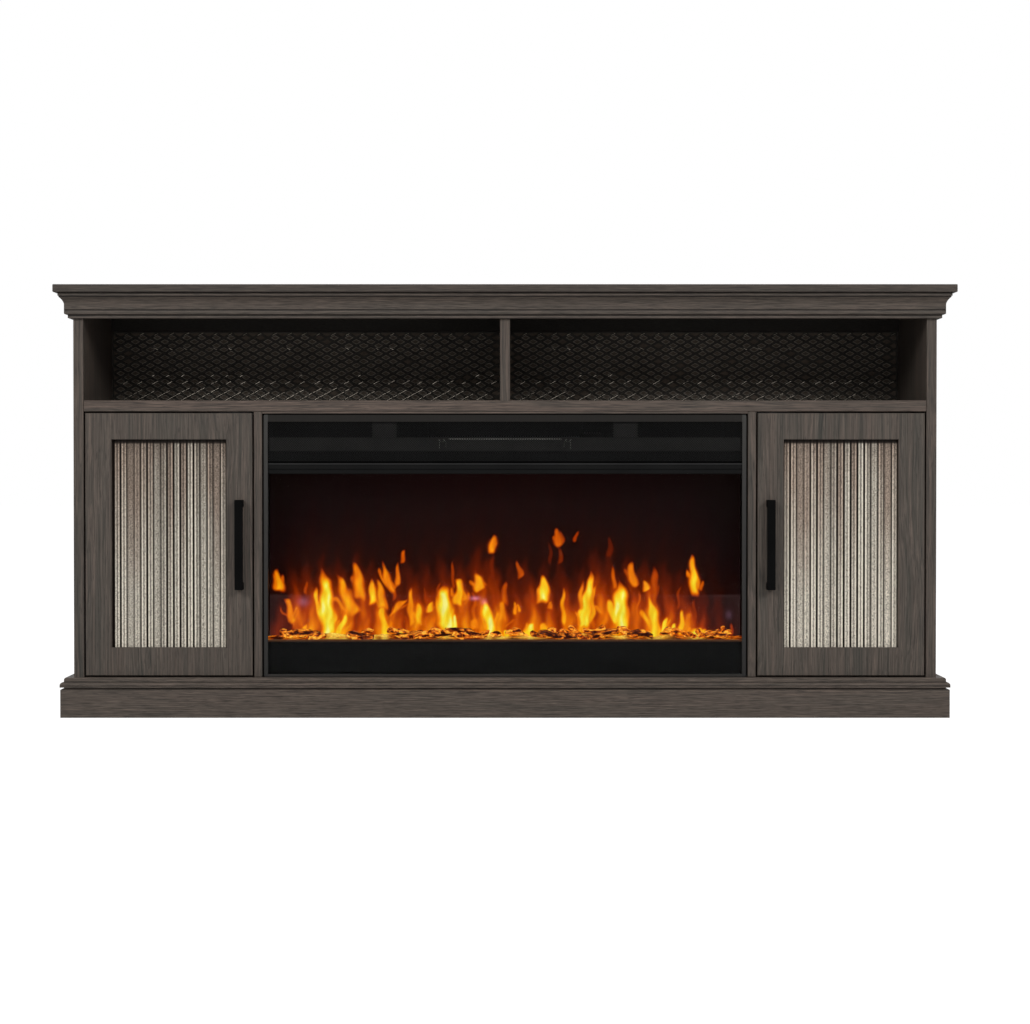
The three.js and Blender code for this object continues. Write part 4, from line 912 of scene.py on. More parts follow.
def painted_rim_highlights(pitch_x, pitch_z):
    """A painted highlight round each hole of the expanded metal: a pale ring for the strands' lit edges."""
    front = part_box("mesh_panel")[0].y - 0.1 * MM
    chance = random.Random(SEED)
    vertices, faces = [], []
    for middle in mesh_cells(pitch_x, pitch_z):
        # A few holes are left without a painted rim highlight
        if abs(middle.x) < RIM_HIGHLIGHTS_FROM_MIDDLE or chance.random() < 0.05:
            continue
        size = chance.uniform(0.52, 0.6)
        wide, tall = pitch_x / 2 * size, pitch_z / 2 * size
        middle.y = front
        corners = [middle + Vector(v) for v in ((wide, 0, 0), (0, 0, tall), (-wide, 0, 0), (0, 0, -tall))]
        for i in range(4):
            add_bar(vertices, faces, corners[i], corners[(i + 1) % 4], RIM_HIGHLIGHT_ACROSS, RIM_HIGHLIGHT_THICK, 0.6)
    new_piece("mesh_painted_rim_highlights", vertices, faces, finish_of("mesh_rim_highlight"), "cabinet")


def painted_strand_glints(pitch_x, pitch_z):
    """Painted glints along rising strands: pale bars where the lamps would glint, long lines low down, fading
    to the right, shorter ones above them and a row of dashes along the top edge."""
    low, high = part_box("mesh_panel")
    chance = random.Random(SEED)
    slope = pitch_z / pitch_x
    # Rows of marks: their foot over the sheet's, their height, their odds, and 1 for rising strands
    rows = (
        (3 * MM, 40 * MM, 1.4, 1),
        (46 * MM, 8 * MM, 1.2, 1),
        (62 * MM, 5 * MM, 0.3, 1),
        (high.z - low.z - 38 * MM, 5 * MM, 0.4, -1),
        (high.z - low.z - 7.5 * MM, 6 * MM, 1.4, 1),
    )
    vertices, faces = [], []
    for rise, tall, odds, family in rows:
        shift = (family * (rise - MESH_RIM / 2) / slope) % pitch_x
        for column in range(int((high.x - low.x) / pitch_x)):
            x = low.x + MESH_RIM / 2 + column * pitch_x + shift
            aside = 0.5 - 0.5 * x / high.x
            if tall < DASH_HEIGHT:
                climb = tall * chance.uniform(0.75, 1.0)
            else:
                climb = tall * (chance.uniform(0.7, 1.0) * (0.55 + 0.45 * aside))
            run = family * climb / slope
            z = low.z + rise
            inside = low.x + MESH_RIM < min(x, x + run) and max(x, x + run) < high.x - MESH_RIM
            clear = min(abs(x), abs(x + run)) > MARKS_FROM_MIDDLE and x * (x + run) > 0
            if not (inside and clear) or chance.random() > odds * (0.7 + 0.3 * aside):
                continue
            start = Vector((x, low.y - 0.15 * MM, z))
            end = start + Vector((run, 0, climb))
            pieces = max(1, round(climb / MARK_PIECE))
            for i in range(pieces):
                a, b = i / pieces, (i + chance.uniform(0.7, 0.98)) / pieces
                across = chance.uniform(0.55, 0.9) * (0.65 + 0.35 * aside) * MM
                add_bar(vertices, faces, start.lerp(end, a), start.lerp(end, b), across, MARK_THICK)
    new_piece("mesh_painted_strand_glints", vertices, faces, finish_of("mesh_painted_glint"), "cabinet")


class STAND_OT_media_mesh(bpy.types.Operator):
    """Makes the expanded metal across the back of the media bay"""

    bl_idname = "stand.media_mesh"
    bl_label = "Media bay mesh"

    def execute(self, context):
        mesh = context.scene.stand_mesh
        sizes = mesh.bay_pitch_x, mesh.bay_pitch_z, mesh.bay_strand
        diamond_sheet("media_bay_expanded_metal", "mesh_panel", sizes, ("mesh_black", "mesh_black"), 0.55)
        painted_rim_highlights(mesh.bay_pitch_x, mesh.bay_pitch_z)
        painted_strand_glints(mesh.bay_pitch_x, mesh.bay_pitch_z)
        return {"FINISHED"}


# Doors

REED_STEPS = 10
# The plain edge of a pane under its retainer, and the black strip at the left pane's outer edge
PANE_MARGIN = 5.7 * MM
PANE_DARK_EDGE = 3.4 * MM
# How light each pane's film is painted: both hold the same film, so this is painted light and shade
PANE_PAINTED_LIGHTNESS = {"left": 0.97, "right": 1.2}


def reeded_pane(end):
    """A pane with smooth half-round reeds, in the space of its plain node."""
    doors = bpy.context.scene.stand_doors
    low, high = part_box(f"door_glass_{end}")
    left = low.x + PANE_MARGIN + (PANE_DARK_EDGE if end == "left" else 0)
    right = high.x - PANE_MARGIN
    pitch = (right - left) / doors.reeds
    front, valley = low.y, low.y + doors.reed_depth
    outline = [(low.x, high.y), (low.x, valley)]
    for step in range(doors.reeds * REED_STEPS + 1):
        rise = math.sin(math.pi * (step % REED_STEPS) / REED_STEPS)
        outline.append((left + step * pitch / REED_STEPS, valley - (valley - front) * rise))
    outline += [(high.x, valley), (high.x, high.y)]
    vertices, faces = extruded(outline, low.z, high.z, "z")
    material = reeded_glass(f"Reeded_glass_frosted_{end}", left, pitch, PANE_PAINTED_LIGHTNESS[end])
    piece = new_piece(f"reeded_pane_{end}", vertices, faces, material, f"door_{end}", 50)
    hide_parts(f"door_glass_{end}")


# Middle of a handle's leg from its end
HANDLE_LEG = 7 * MM


class STAND_OT_doors(bpy.types.Operator):
    """Dresses the doors, their handles and retainers, and makes the reeded panes"""

    bl_idname = "stand.doors"
    bl_label = "Doors"

    def execute(self, context):
        for end in SIDES:
            dress("oak_door", f"door_{end}")
            dress("handle_black", f"handle_{end}")
            dress("plastic", f"glass_retainer_{end}")
            reeded_pane(end)
            low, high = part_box(f"handle_{end}")
            back_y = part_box(f"door_{end}")[1].y
            for level, z in (("lower", low.z + HANDLE_LEG), ("upper", high.z - HANDLE_LEG)):
                centre = Vector(((low.x + high.x) / 2, back_y, z))
                screw_head(f"handle_screw_{end}_{level}", f"door_{end}", centre, BACKWARD, HANDLE_SCREW)
        return {"FINISHED"}


# Screws of a hinge: their insets from the wings' and the plate's ends, how far the plate's ones lie in
# front of its back end, and the plate's face from the middle of the stand
CUP_SCREW_INSET = 5 * MM
PLATE_SCREW_INSET = 7 * MM
PLATE_SCREW_DEPTH = 23 * MM
HINGE_PLATE_X = 823 * MM


class STAND_OT_hinges(bpy.types.Operator):
    """Dresses the concealed hinges and adds their screws"""

    bl_idname = "stand.hinges"
    bl_label = "Hinges"

    def execute(self, context):
        for end, side in SIDES.items():
            for level in LEVELS:
                dress("steel", f"hinge_cup_{end}_{level}", f"hinge_arm_{end}_{level}")
                low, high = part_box(f"hinge_cup_{end}_{level}")
                for place, z in (("low", low.z + CUP_SCREW_INSET), ("high", high.z - CUP_SCREW_INSET)):
                    centre = Vector(((low.x + high.x) / 2, high.y, z))
                    name = f"hinge_cup_screw_{end}_{level}_{place}"
                    screw_head(name, f"door_{end}", centre, BACKWARD, CUP_SCREW)
                low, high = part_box(f"hinge_arm_{end}_{level}")
                for place, z in (("low", low.z + PLATE_SCREW_INSET), ("high", high.z - PLATE_SCREW_INSET)):
                    centre = Vector((side * HINGE_PLATE_X, high.y - PLATE_SCREW_DEPTH, z))
                    name = f"hinge_plate_screw_{end}_{level}_{place}"
                    screw_head(name, "cabinet", centre, Vector((-side, 0, 0)), PLATE_SCREW)
        return {"FINISHED"}


# Front of the insert

# The folded strip behind the outlet mesh: its front face, its foot and head, and its tabs' edges from the
# middle
DEFLECTOR_FRONT = -165.5 * MM
DEFLECTOR_FOOT = 527 * MM
DEFLECTOR_HEAD = 553.4 * MM
DEFLECTOR_TABS = (215 * MM, 263 * MM)
# The guard wire's middle, in depth
GUARD_FRONT = -167.4 * MM


def bent_deflector():
    """The folded strip behind the outlet mesh, with its two tabs, in the space of its plain node."""
    low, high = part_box("outlet_deflector")
    front, lower, upper = DEFLECTOR_FRONT, DEFLECTOR_FOOT, DEFLECTOR_HEAD
    sheet, lip = 1.5 * MM, 10 * MM
    fold = [
        (front, lower),
        (front + lip, lower - lip / 2),
        (front + lip, lower - lip / 2 + sheet),
        (front + sheet, lower + sheet),
        (front + sheet, upper),
        (front, upper),
    ]
    vertices, faces = extruded(fold, low.x, high.x)
    for side in SIDES.values():
        x0, x1 = sorted(side * edge for edge in DEFLECTOR_TABS)
        add_block(vertices, faces, (x0, front, upper - sheet), (x1, front + sheet, high.z))
    finish = finish_of("duct_grey")
    piece = new_piece("outlet_deflector_folded", vertices, faces, finish, "cabinet")
    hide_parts("outlet_deflector")
    # A black plate in the slot below the deflector: painted shade, a dark sheet where the slot lies in shadow
    foot, head = 504.5 * MM, 524 * MM
    shade = [(front + 8.5 * MM, foot), (front + 8.5 * MM, head), (front + lip, head), (front + lip, foot)]
    vertices, faces = extruded(shade, low.x, high.x)
    new_piece("outlet_painted_shade_plate", vertices, faces, finish_of("housing_black"), "cabinet")


def guard_wire():
    """The bright coiled wire across the deflector, with a bracket and two bolts at each end."""
    level, half, coil, turns = 550.4 * MM, 112 * MM, 0.6 * MM, 44
    steps = turns * 8
    route = []
    for i in range(steps + 1):
        angle = 2 * math.pi * i * turns / steps
        x = -half + 2 * half * i / steps
        route.append(Vector((x, GUARD_FRONT + coil * math.cos(angle), level + coil * math.sin(angle))))
    vertices, faces = tube(route, 1.5 * MM, 6)
    new_piece("outlet_guard_wire", vertices, faces, finish_of("wire"), "cabinet", 60)
    foot, head = 530 * MM, 545 * MM
    for end, side in SIDES.items():
        outer, bolt, inner = (side * x * MM for x in (130, 121, 117))
        for place, x in (("outer", outer), ("inner", bolt)):
            centre = Vector((x, GUARD_FRONT + coil, 548.6 * MM))
            screw_head(f"guard_bolt_{end}_{place}", "cabinet", centre, FORWARD, GUARD_BOLT, "wire")
        bends = (outer, foot), (outer, head), (inner, head), (inner, foot + 3 * MM)
        corners = [Vector((x, GUARD_FRONT, z)) for x, z in bends]
        vertices, faces = [], []
        for i, across in enumerate((1.6 * MM, 0.8 * MM, 0.8 * MM)):
            add_bar(vertices, faces, corners[i], corners[i + 1], across, 0.7 * MM)
        new_piece(f"guard_bracket_{end}", vertices, faces, finish_of("wire"), "cabinet")


def gap_shade_strips():
    """Near-black strips set back in the gap between the insert and the opening, over it and at both sides:
    painted shade that keeps the gap dark.
    """
    low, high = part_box("insert_housing")
    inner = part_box("inner_upright_right")[0].x
    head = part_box("insert_head_strip")[0].z
    front, deep = low.y + 2 * MM, 8 * MM
    vertices, faces = [], []
    blocks = [((-inner, high.z), (inner, head))]
    blocks += [((side * high.x, low.z), (side * inner, high.z)) for side in SIDES.values()]
    for (x0, z0), (x1, z1) in blocks:
        x0, x1 = sorted((x0, x1))
        add_block(vertices, faces, (x0, front, z0), (x1, front + deep, z1))
    new_piece("insert_gap_shade_strips", vertices, faces, finish_of("gasket"), "cabinet")


# Section of the trim over the glass: share of its height, and millimetres out from its back
TRIM_STEPS = (
    (0.0, 0.0), (0.0, 6.5), (0.055, 7.7), (0.38, 7.7), (0.4, 5.6), (0.45, 5.6), (0.47, 7.7), (0.8, 7.7),
    (0.82, 7.2), (1.0, 7.2), (1.0, 0.0),
)


def stepped_trim():
    """The trim over the glass: a rolled bead painted paler as a highlight, then two flat steps with a fine
    groove between them.
    """
    low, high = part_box("glass_top_trim")
    tall = high.z - low.z
    outline = [(high.y - out * MM, low.z + tall * share) for share, out in TRIM_STEPS]
    vertices, faces = extruded(outline, low.x, high.x)
    finish = finish_of("trim_charcoal")
    piece = new_piece("glass_trim_stepped", vertices, faces, finish, "cabinet")
    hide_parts("glass_top_trim")
    # The bead's paler charcoal is a painted highlight
    radius = 1.9 * MM
    centre_y, centre_z = high.y - 6.8 * MM, high.z - radius - 0.1 * MM
    angles = [math.pi * (i / 8 - 0.5) for i in range(9)]
    outline = [(centre_y - radius * math.cos(a) * 0.9, centre_z + radius * math.sin(a)) for a in angles]
    vertices, faces = extruded(outline, low.x, high.x)
    new_piece("glass_trim_bead", vertices, faces, finish_of("bead_painted_highlight"), "cabinet", 40)


class STAND_OT_insert_front(bpy.types.Operator):
    """Dresses the insert's front and makes its fine mesh, deflector and guard wire"""

    bl_idname = "stand.insert_front"
    bl_label = "Insert front"

    def execute(self, context):
        mesh = context.scene.stand_mesh
        dress("frame_charcoal", "insert_trim_frame")
        stepped_trim()
        gap_shade_strips()
        dress("clear_glass", "front_glass")
        dress("fascia_black", "lower_fascia")
        sizes = mesh.outlet_pitch, mesh.outlet_pitch, mesh.outlet_wire
        diamond_sheet("outlet_fine_mesh", "outlet_mesh", sizes, ("outlet_black", "gasket"), 0.6)
        bent_deflector()
        guard_wire()
        return {"FINISHED"}


# Flame picture

Flame = namedtuple("Flame", "foot tip width bow heat")

# Flames in photo pixels: foot, tip, greatest width, sideways bow of the middle, and heat
FLAMES = [Flame(*values) for values in (
    ((279, 592), (277, 571), 9, -2, 0.72), ((296, 626), (285, 596), 8, 5, 0.62),
    ((290, 622), (297, 607), 6, 3, 0.6), ((305, 594), (306, 580), 4, 1, 0.42),
    ((330, 640), (323, 571), 17, 3, 0.95), ((338, 640), (345, 612), 9, 2, 0.9),
    ((356, 616), (337, 576), 15, 3, 0.7), ((362, 602), (354, 563), 12, 1, 0.66),
    ((373, 606), (371, 577), 7, -2, 0.85), ((384, 610), (377, 582), 9, 2, 0.7),
    ((384, 638), (383, 606), 11, -1, 0.82), ((392, 592), (383, 563), 8, 2, 0.64),
    ((398, 588), (398, 564), 5, 2, 0.62), ((402, 564), (404, 549), 5, -1, 0.5),
    ((391, 616), (408, 598), 8, -2, 0.62), ((412, 626), (410, 586), 7, 2, 0.66),
    ((419, 628), (417, 603), 8, 1, 0.76), ((428, 612), (432, 601), 9, 0, 0.78),
    ((446, 632), (444, 586), 19, 0, 0.97), ((453, 630), (455, 614), 6, 1, 1.0),
    ((461, 608), (456, 578), 10, 6, 0.8), ((480, 592), (477, 574), 11, 3, 0.74),
    ((491, 553), (493, 533), 8, 0, 0.68), ((491, 590), (493, 553), 8, 0, 0.24),
    ((490, 638), (487, 600), 13, -3, 0.95), ((503, 624), (501, 602), 8, 2, 0.62),
    ((476, 630), (472, 616), 11, 0, 0.6), ((515, 615), (514, 600), 4, 1, 0.7),
    ((519, 612), (517, 604), 4, 0, 0.62), ((520, 580), (518, 560), 6, -2, 0.46),
    ((543, 604), (543, 577), 12, 0, 0.92), ((550, 610), (550, 601), 6, 0, 0.6),
    ((559, 546), (557, 528), 8, 1, 0.52), ((561, 566), (559, 546), 5, 0, 0.28),
    ((574, 540), (577, 529), 4, 1, 0.42), ((550, 566), (549, 540), 4, 0, 0.22),
    ((564, 628), (563, 588), 5, -1, 0.74), ((585, 630), (590, 572), 11, 4, 0.9),
    ((583, 630), (581, 606), 10, -2, 0.92), ((601, 614), (594, 602), 6, 1, 0.6),
    ((621, 632), (620, 582), 17, -1, 0.96), ((614, 590), (613, 564), 5, 0, 0.5),
    ((610, 560), (609, 536), 6, 0, 0.24), ((634, 586), (631, 563), 10, 1, 0.62),
    ((646, 592), (644, 581), 7, 0, 0.72), ((657, 640), (650, 598), 12, 3, 0.86),
    ((664, 640), (665, 618), 8, 0, 0.92), ((653, 612), (655, 566), 10, 0, 0.4),
    ((675, 634), (674, 622), 5, 0, 1.0), ((682, 634), (681, 609), 6, 1, 0.82),
    ((688, 632), (686, 612), 12, 4, 0.5), ((694, 640), (698, 626), 14, 0, 0.9),
    ((695, 596), (692, 557), 9, 3, 0.84), ((700, 590), (702, 580), 4, 1, 0.5),
    ((731, 637), (731, 624), 4, 0, 0.4), ((527, 640), (532, 620), 11, 0, 0.92),
    ((545, 640), (541, 622), 9, 0, 0.78), ((400, 640), (394, 628), 9, 0, 0.9),
    ((300, 640), (306, 622), 9, 0, 0.8), ((508, 640), (506, 630), 9, 0, 0.85),
    ((462, 640), (470, 630), 10, 0, 0.7),
)]

# Heat of the picture turned to colour: share of heat, sRGB colour
HEAT_STOPS = (
    (0.0, "#080504"), (0.03, "#100404"), (0.12, "#240602"), (0.25, "#661800"), (0.4, "#ae3800"),
    (0.55, "#e26600"), (0.68, "#f98c04"), (0.8, "#ffb210"), (0.9, "#ffd622"), (0.97, "#ffee48"),
    (1.0, "#fff684"),
)

# The glints below are painted reflections of the pane, laid into the flame picture
# Mauve glints on the pane, in photo pixels: column, row, half width, half height and light
PAINTED_PANE_GLINTS = (
    (303, 602, 5, 4, 0.12), (475, 598.5, 4, 1.6, 0.35), (484, 602, 2.5, 2.5, 0.2), (729, 615, 3, 4, 0.05)
)

# Rows of the photograph where the fire starts and fades and where the pale pane ends, and its first and
# last columns
FIRE_FOOT_ROW = 642
FIRE_TOP_ROW = 545
PANE_TOP_ROW = 596
FIRE_COLUMNS = (285, 705)
# Faint licks of flame strewn behind the drawn flames
FAINT_LICKS = 70


def photo_place(column, row, y):
    """The point at depth y that the camera sees at a pixel of the photograph."""
    reach = (y - CAMERA_Y) / FOCAL_PIXELS
    return (column - CENTRE_COLUMN) * reach, CAMERA_Z - (row - HORIZON_ROW) * reach


def photo_pixel(x, z, y):
    """The pixels of the photograph, as arrays, at which the camera sees points at depth y."""
    reach = (y - CAMERA_Y) / FOCAL_PIXELS
    return CENTRE_COLUMN + x / reach, HORIZON_ROW - (z - CAMERA_Z) / reach


def smooth_step(value):
    """An even rise from 0 to 1, flat at both ends."""
    value = np.clip(value, 0, 1)
    return value * value * (3 - 2 * value)


def tongue(columns, rows, foot, tip, width, bow):
    """One tongue of flame: how far off its spine each pixel is, in half widths, and its fade at both ends."""
    (x0, y0), (x1, y1) = foot, tip
    share = (y0 - rows) / max(y0 - y1, 1)
    lean = np.sin(math.pi * np.clip(share, 0, 1)) * (share - 0.5) * 2
    spine = x0 + (x1 - x0) * share + bow * lean
    profile = np.clip(share + 0.2, 0, 2) ** 0.5 * np.clip(1.08 - share, 0, 1) ** 0.8 * 1.35
    half = np.maximum(width / 2 * profile, 0.3)
    fade = smooth_step((share + 0.12) / 0.26) * smooth_step((1.14 - share) / 0.34)
    return np.abs(columns - spine) / half, fade


def merge(heat, more):
    """Lays one light over another: mostly the hotter of the two, a little of both."""
    return np.maximum(heat, more) * 0.86 + (1 - (1 - heat) * (1 - np.clip(more, 0, 1))) * 0.14


def flame_heat(columns, rows):
    """Heat from 0 to 1 at each pixel: the streaky glow over the embers, faint licks, and every flame with
    its own side tongues."""
    sway = 0.9 * np.sin(rows / 6.3 + 1.4 * np.sin(columns / 13)) + 0.6 * np.sin(rows / 2.9 - columns / 5.3)
    columns = columns + sway
    rows = rows + 1.8 * np.sin(columns / 3.3) + 1.2 * np.sin(columns / 1.9 + rows / 8)
    rise = np.maximum((FIRE_FOOT_ROW - rows) / (FIRE_FOOT_ROW - FIRE_TOP_ROW), 0)
    first, last = FIRE_COLUMNS
    inside = smooth_step((columns - first + 30) / 60) * smooth_step((last + 30 - columns) / 60)
    waver = 1 + 0.18 * np.sin(columns / 23) + 0.12 * np.sin(columns / 9.5 + 1.3)
    streak = 0.3 * np.sin(columns / 2.7 + 1.5 * np.sin(rows / 17)) + 0.2 * np.sin(columns / 6.1 - rows / 21)
    streak = streak + 0.5
    low_glow = 0.36 * np.exp(-(rise / (0.5 * waver)) ** 2) * (0.5 + 0.8 * streak)
    high_glow = 0.17 * np.exp(-(rise / 0.95) ** 2) * (0.7 + 0.5 * streak)
    dim_middle = 0.03 * np.exp(-((columns - CENTRE_COLUMN) / 190) ** 2)
    heat = (low_glow + high_glow) * (0.2 + 0.8 * inside) + dim_middle
    chance = random.Random(SEED)
    for _ in range(FAINT_LICKS):
        foot = (chance.uniform(*FIRE_COLUMNS), FIRE_FOOT_ROW - abs(chance.gauss(0, 18)))
        tip = (foot[0] + chance.gauss(0, 5), foot[1] - chance.uniform(10, 30))
        across, fade = tongue(columns, rows, foot, tip, chance.uniform(5, 14), chance.uniform(-3, 3))
        heat = merge(heat, chance.uniform(0.28, 0.5) * np.exp(-across ** 2) * fade)
    for flame in FLAMES:
        tall = flame.foot[1] - flame.tip[1]
        parts = [(flame.foot, flame.tip, flame.width * 1.35, flame.bow, flame.heat)]
        for side in (-1, 1) if flame.width > 7 else ():
            out = side * flame.width * chance.uniform(0.3, 0.7)
            foot = (flame.foot[0] + out * 0.4, flame.foot[1] - tall * chance.uniform(-0.05, 0.2))
            tip = (flame.tip[0] + out, flame.tip[1] + tall * chance.uniform(0.1, 0.45))
            wide, share = flame.width * chance.uniform(0.6, 1.0), chance.uniform(0.66, 0.9)
            parts.append((foot, tip, wide, -flame.bow, flame.heat * share))
        for foot, tip, width, bow, strength in parts:
            across, fade = tongue(columns, rows, foot, tip, width, bow)
            core = smooth_step(1.35 - across)
            halo = np.exp(-(across / 1.8) ** 2)
            heat = merge(heat, strength * fade * (0.64 * core + 0.36 * halo))
    grain = 0.05 * np.sin(columns / 1.3 + 2 * np.sin(rows / 7)) + 0.04 * np.sin(rows / 4.7 + columns / 3.1)
    return np.clip(heat * (1 + grain), 0, 1)


def heat_colour(heat):
    """The linear colours of an array of heats."""
    places = [place for place, _ in HEAT_STOPS]
    colours = np.array([linear(hex_colour)[:3] for _, hex_colour in HEAT_STOPS])
    return np.stack([np.interp(heat, places, colours[:, i]) for i in range(3)], axis=-1)


def painted_pane_reflection(columns, rows):
    """Painted reflections of the pane, laid into the flame picture: a faint mauve tint below the pane's top
    edge, strongest at both ends, with a bright edge.
    """
    below = smooth_step((rows - PANE_TOP_ROW) / 1.5)
    ends = np.clip(np.abs(columns - CENTRE_COLUMN) / 235, 0, 1) ** 4
    edge = np.exp(-(rows - PANE_TOP_ROW) ** 2)
    tint = below * (0.001 + 0.013 * ends) + edge * (0.005 + 0.02 * ends)
    glints = sum(
        light * np.exp(-(((columns - column) / wide) ** 2) - ((rows - row) / tall) ** 2)
        for column, row, wide, tall, light in PAINTED_PANE_GLINTS
    )
    return tint[..., None] * np.array([1.0, 0.6, 0.62]) + glints[..., None] * np.array([1.0, 0.5, 0.85])


def flame_screen():
    """The lit screen: a closed panel whose front is a fine grid that holds the flames' colours."""
    fire = bpy.context.scene.stand_fire
    low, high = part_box("flame_screen")
    top_z = photo_place(CENTRE_COLUMN, FIRE_TOP_ROW - 20, low.y)[1]
    foot_z = photo_place(CENTRE_COLUMN, FIRE_FOOT_ROW + 6, low.y)[1]
    xs = np.linspace(low.x, high.x, int((high.x - low.x) / fire.cell) + 1)
    fine = np.linspace(foot_z, top_z, int((top_z - foot_z) / fire.cell) + 1)
    zs = np.concatenate([[low.z], fine, np.linspace(top_z, high.z, 14)[1:]])
    grid_x, grid_z = np.meshgrid(xs, zs)
    columns, rows = photo_pixel(grid_x, grid_z, low.y)
    colours = heat_colour(flame_heat(columns, rows)) + painted_pane_reflection(columns, rows)
    points = [(x, low.y, z) for x, z in zip(grid_x.ravel(), grid_z.ravel())]
    vertices, faces = closed_grid(points, len(xs), lambda point: (point[0], high.y, point[2]))
    material = flame_picture_light("Acrylic_screen_lit")
    piece = new_piece("flame_screen_lit", vertices, faces, material, "cabinet")
    layer = piece.data.color_attributes.new("Glow", "FLOAT_COLOR", "POINT")
    values = np.zeros((len(vertices), 4), np.float32)
    values[:, 3] = 1
    values[: len(points), :3] = colours.reshape(-1, 3)
    layer.data.foreach_set("color", values.ravel())
    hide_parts("flame_screen")


class STAND_OT_flames(bpy.types.Operator):
    """Lights the screen behind the embers with the flame picture"""

    bl_idname = "stand.flames"
    bl_label = "Flame picture"

    def execute(self, context):
        flame_screen()
        return {"FINISHED"}


# Ember bed

# Height of the ember bed's edge and of its swell, and how high the glow is painted dimmer at its lip
BED_HEIGHT = 148 * MM
BED_SWELL = 17 * MM
BED_LIP = 9 * MM
# Columns of the photograph where a flame rises in front of the bed, each with its half width
BED_FLAMES = (
    (333, 9), (342, 6), (372, 7), (384, 4), (444, 5), (489, 4), (503, 7), (531, 12), (581, 4), (620, 6),
    (660, 9), (697, 7),
)
# Colours of the bed, the logs and the chips along a noise: share, sRGB colour
BED_STOPS = (
    (0.0, "#140403"), (1.0, "#ffb82c"), (0.42, "#2c0a03"), (0.49, "#862604"), (0.56, "#d0600a"),
    (0.64, "#f8981c"),
)
LOG_STOPS = (
    (0.0, "#0e0405"), (1.0, "#ffc040"), (0.45, "#2a0c08"), (0.5, "#8a340c"), (0.56, "#e87a1c"),
    (0.64, "#ffb436"),
)
CHIP_STOPS = (
    (0.0, "#180605"), (1.0, "#ffe070"), (0.42, "#2e0b06"), (0.47, "#a83a0a"), (0.54, "#f0801a"),
    (0.63, "#ffb43a"),
)


def bed_height(x, y, low, high):
    """Height of the ember bed's surface."""
    across = (y - low.y) / (high.y - low.y)
    swell = 0.5 + 0.5 * noise.noise(Vector((x * 22, y * 30, 4)))
    return BED_HEIGHT + BED_SWELL * swell * math.sin(math.pi * min(max(across, 0.04), 0.96))


def flame_light(x, y):
    """How strongly a flame lights the bed at a place, from 0 to 1."""
    column = CENTRE_COLUMN + x * FOCAL_PIXELS / (y - CAMERA_Y)
    return max(math.exp(-(((column - middle) / half) ** 2)) for middle, half in BED_FLAMES)


def ember_surface():
    """A lumpy bed of embers, closed below."""
    low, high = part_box("ember_bed")
    columns, rows = 240, 22
    points = []
    for row in range(rows + 1):
        y = low.y + (high.y - low.y) * row / rows
        for column in range(columns + 1):
            x = low.x + (high.x - low.x) * column / columns
            lump = 2.2 * MM * noise.noise(Vector((x * 160, y * 160, 1)))
            points.append((x, y, bed_height(x, y, low, high) + lump))
    vertices, faces = closed_grid(points, columns + 1, lambda point: (point[0], point[1], low.z))
    material = charred_resin("Ember_bed_resin", BED_STOPS, 9, 1.0, lit=True)
    piece = new_piece("ember_bed_glowing", vertices, faces, material, "cabinet", 60)
    marks = piece.data.attributes.new("Lit", "FLOAT", "POINT")
    for i, (x, y, _) in enumerate(vertices):
        marks.data[i].value = flame_light(x, y)
    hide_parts("ember_bed")


def charred_chip(name, centre, length, radius, turn, seed, material):
    """A split, bent piece of charred wood: a tapered round with knots pushed in and out by noise."""
    rings, sides = 12, 9
    matrix = Matrix.Translation(centre) @ Matrix.Rotation(turn.z, 4, "Z") @ Matrix.Rotation(turn.y, 4, "Y")
    vertices = []
    for ring in range(rings + 1):
        share = ring / rings
        taper = math.sin(math.pi * (0.12 + 0.76 * share)) ** 0.4
        bend = radius * 0.5 * math.sin(math.pi * share * 1.3 + seed)
        for side in range(sides):
            angle = 2 * math.pi * side / sides
            direction = Vector((0, math.cos(angle), math.sin(angle) * 0.8))
            probe = Vector((share * length * 90, direction.y * 1.3, direction.z * 1.3 + seed * 3.7))
            reach = radius * taper * (1 + 0.45 * noise.noise(probe) + 0.14 * math.cos(3 * angle + seed))
            point = Vector(((share - 0.5) * length, 0, bend)) + direction * reach
            vertices.append(matrix @ point)
    new_piece(name, vertices, tube_faces(rings + 1, sides), material, "cabinet", 35)


# Large dark logs: their middle and length in photo pixels
LOGS = ((300, 40), (361, 26), (409, 28), (447, 36), (470, 30), (560, 44), (602, 30), (640, 26), (716, 22))
LOG_RADIUS = 8.5 * MM
# How far the chips keep from the bed's ends
CHIP_INSET = 26 * MM


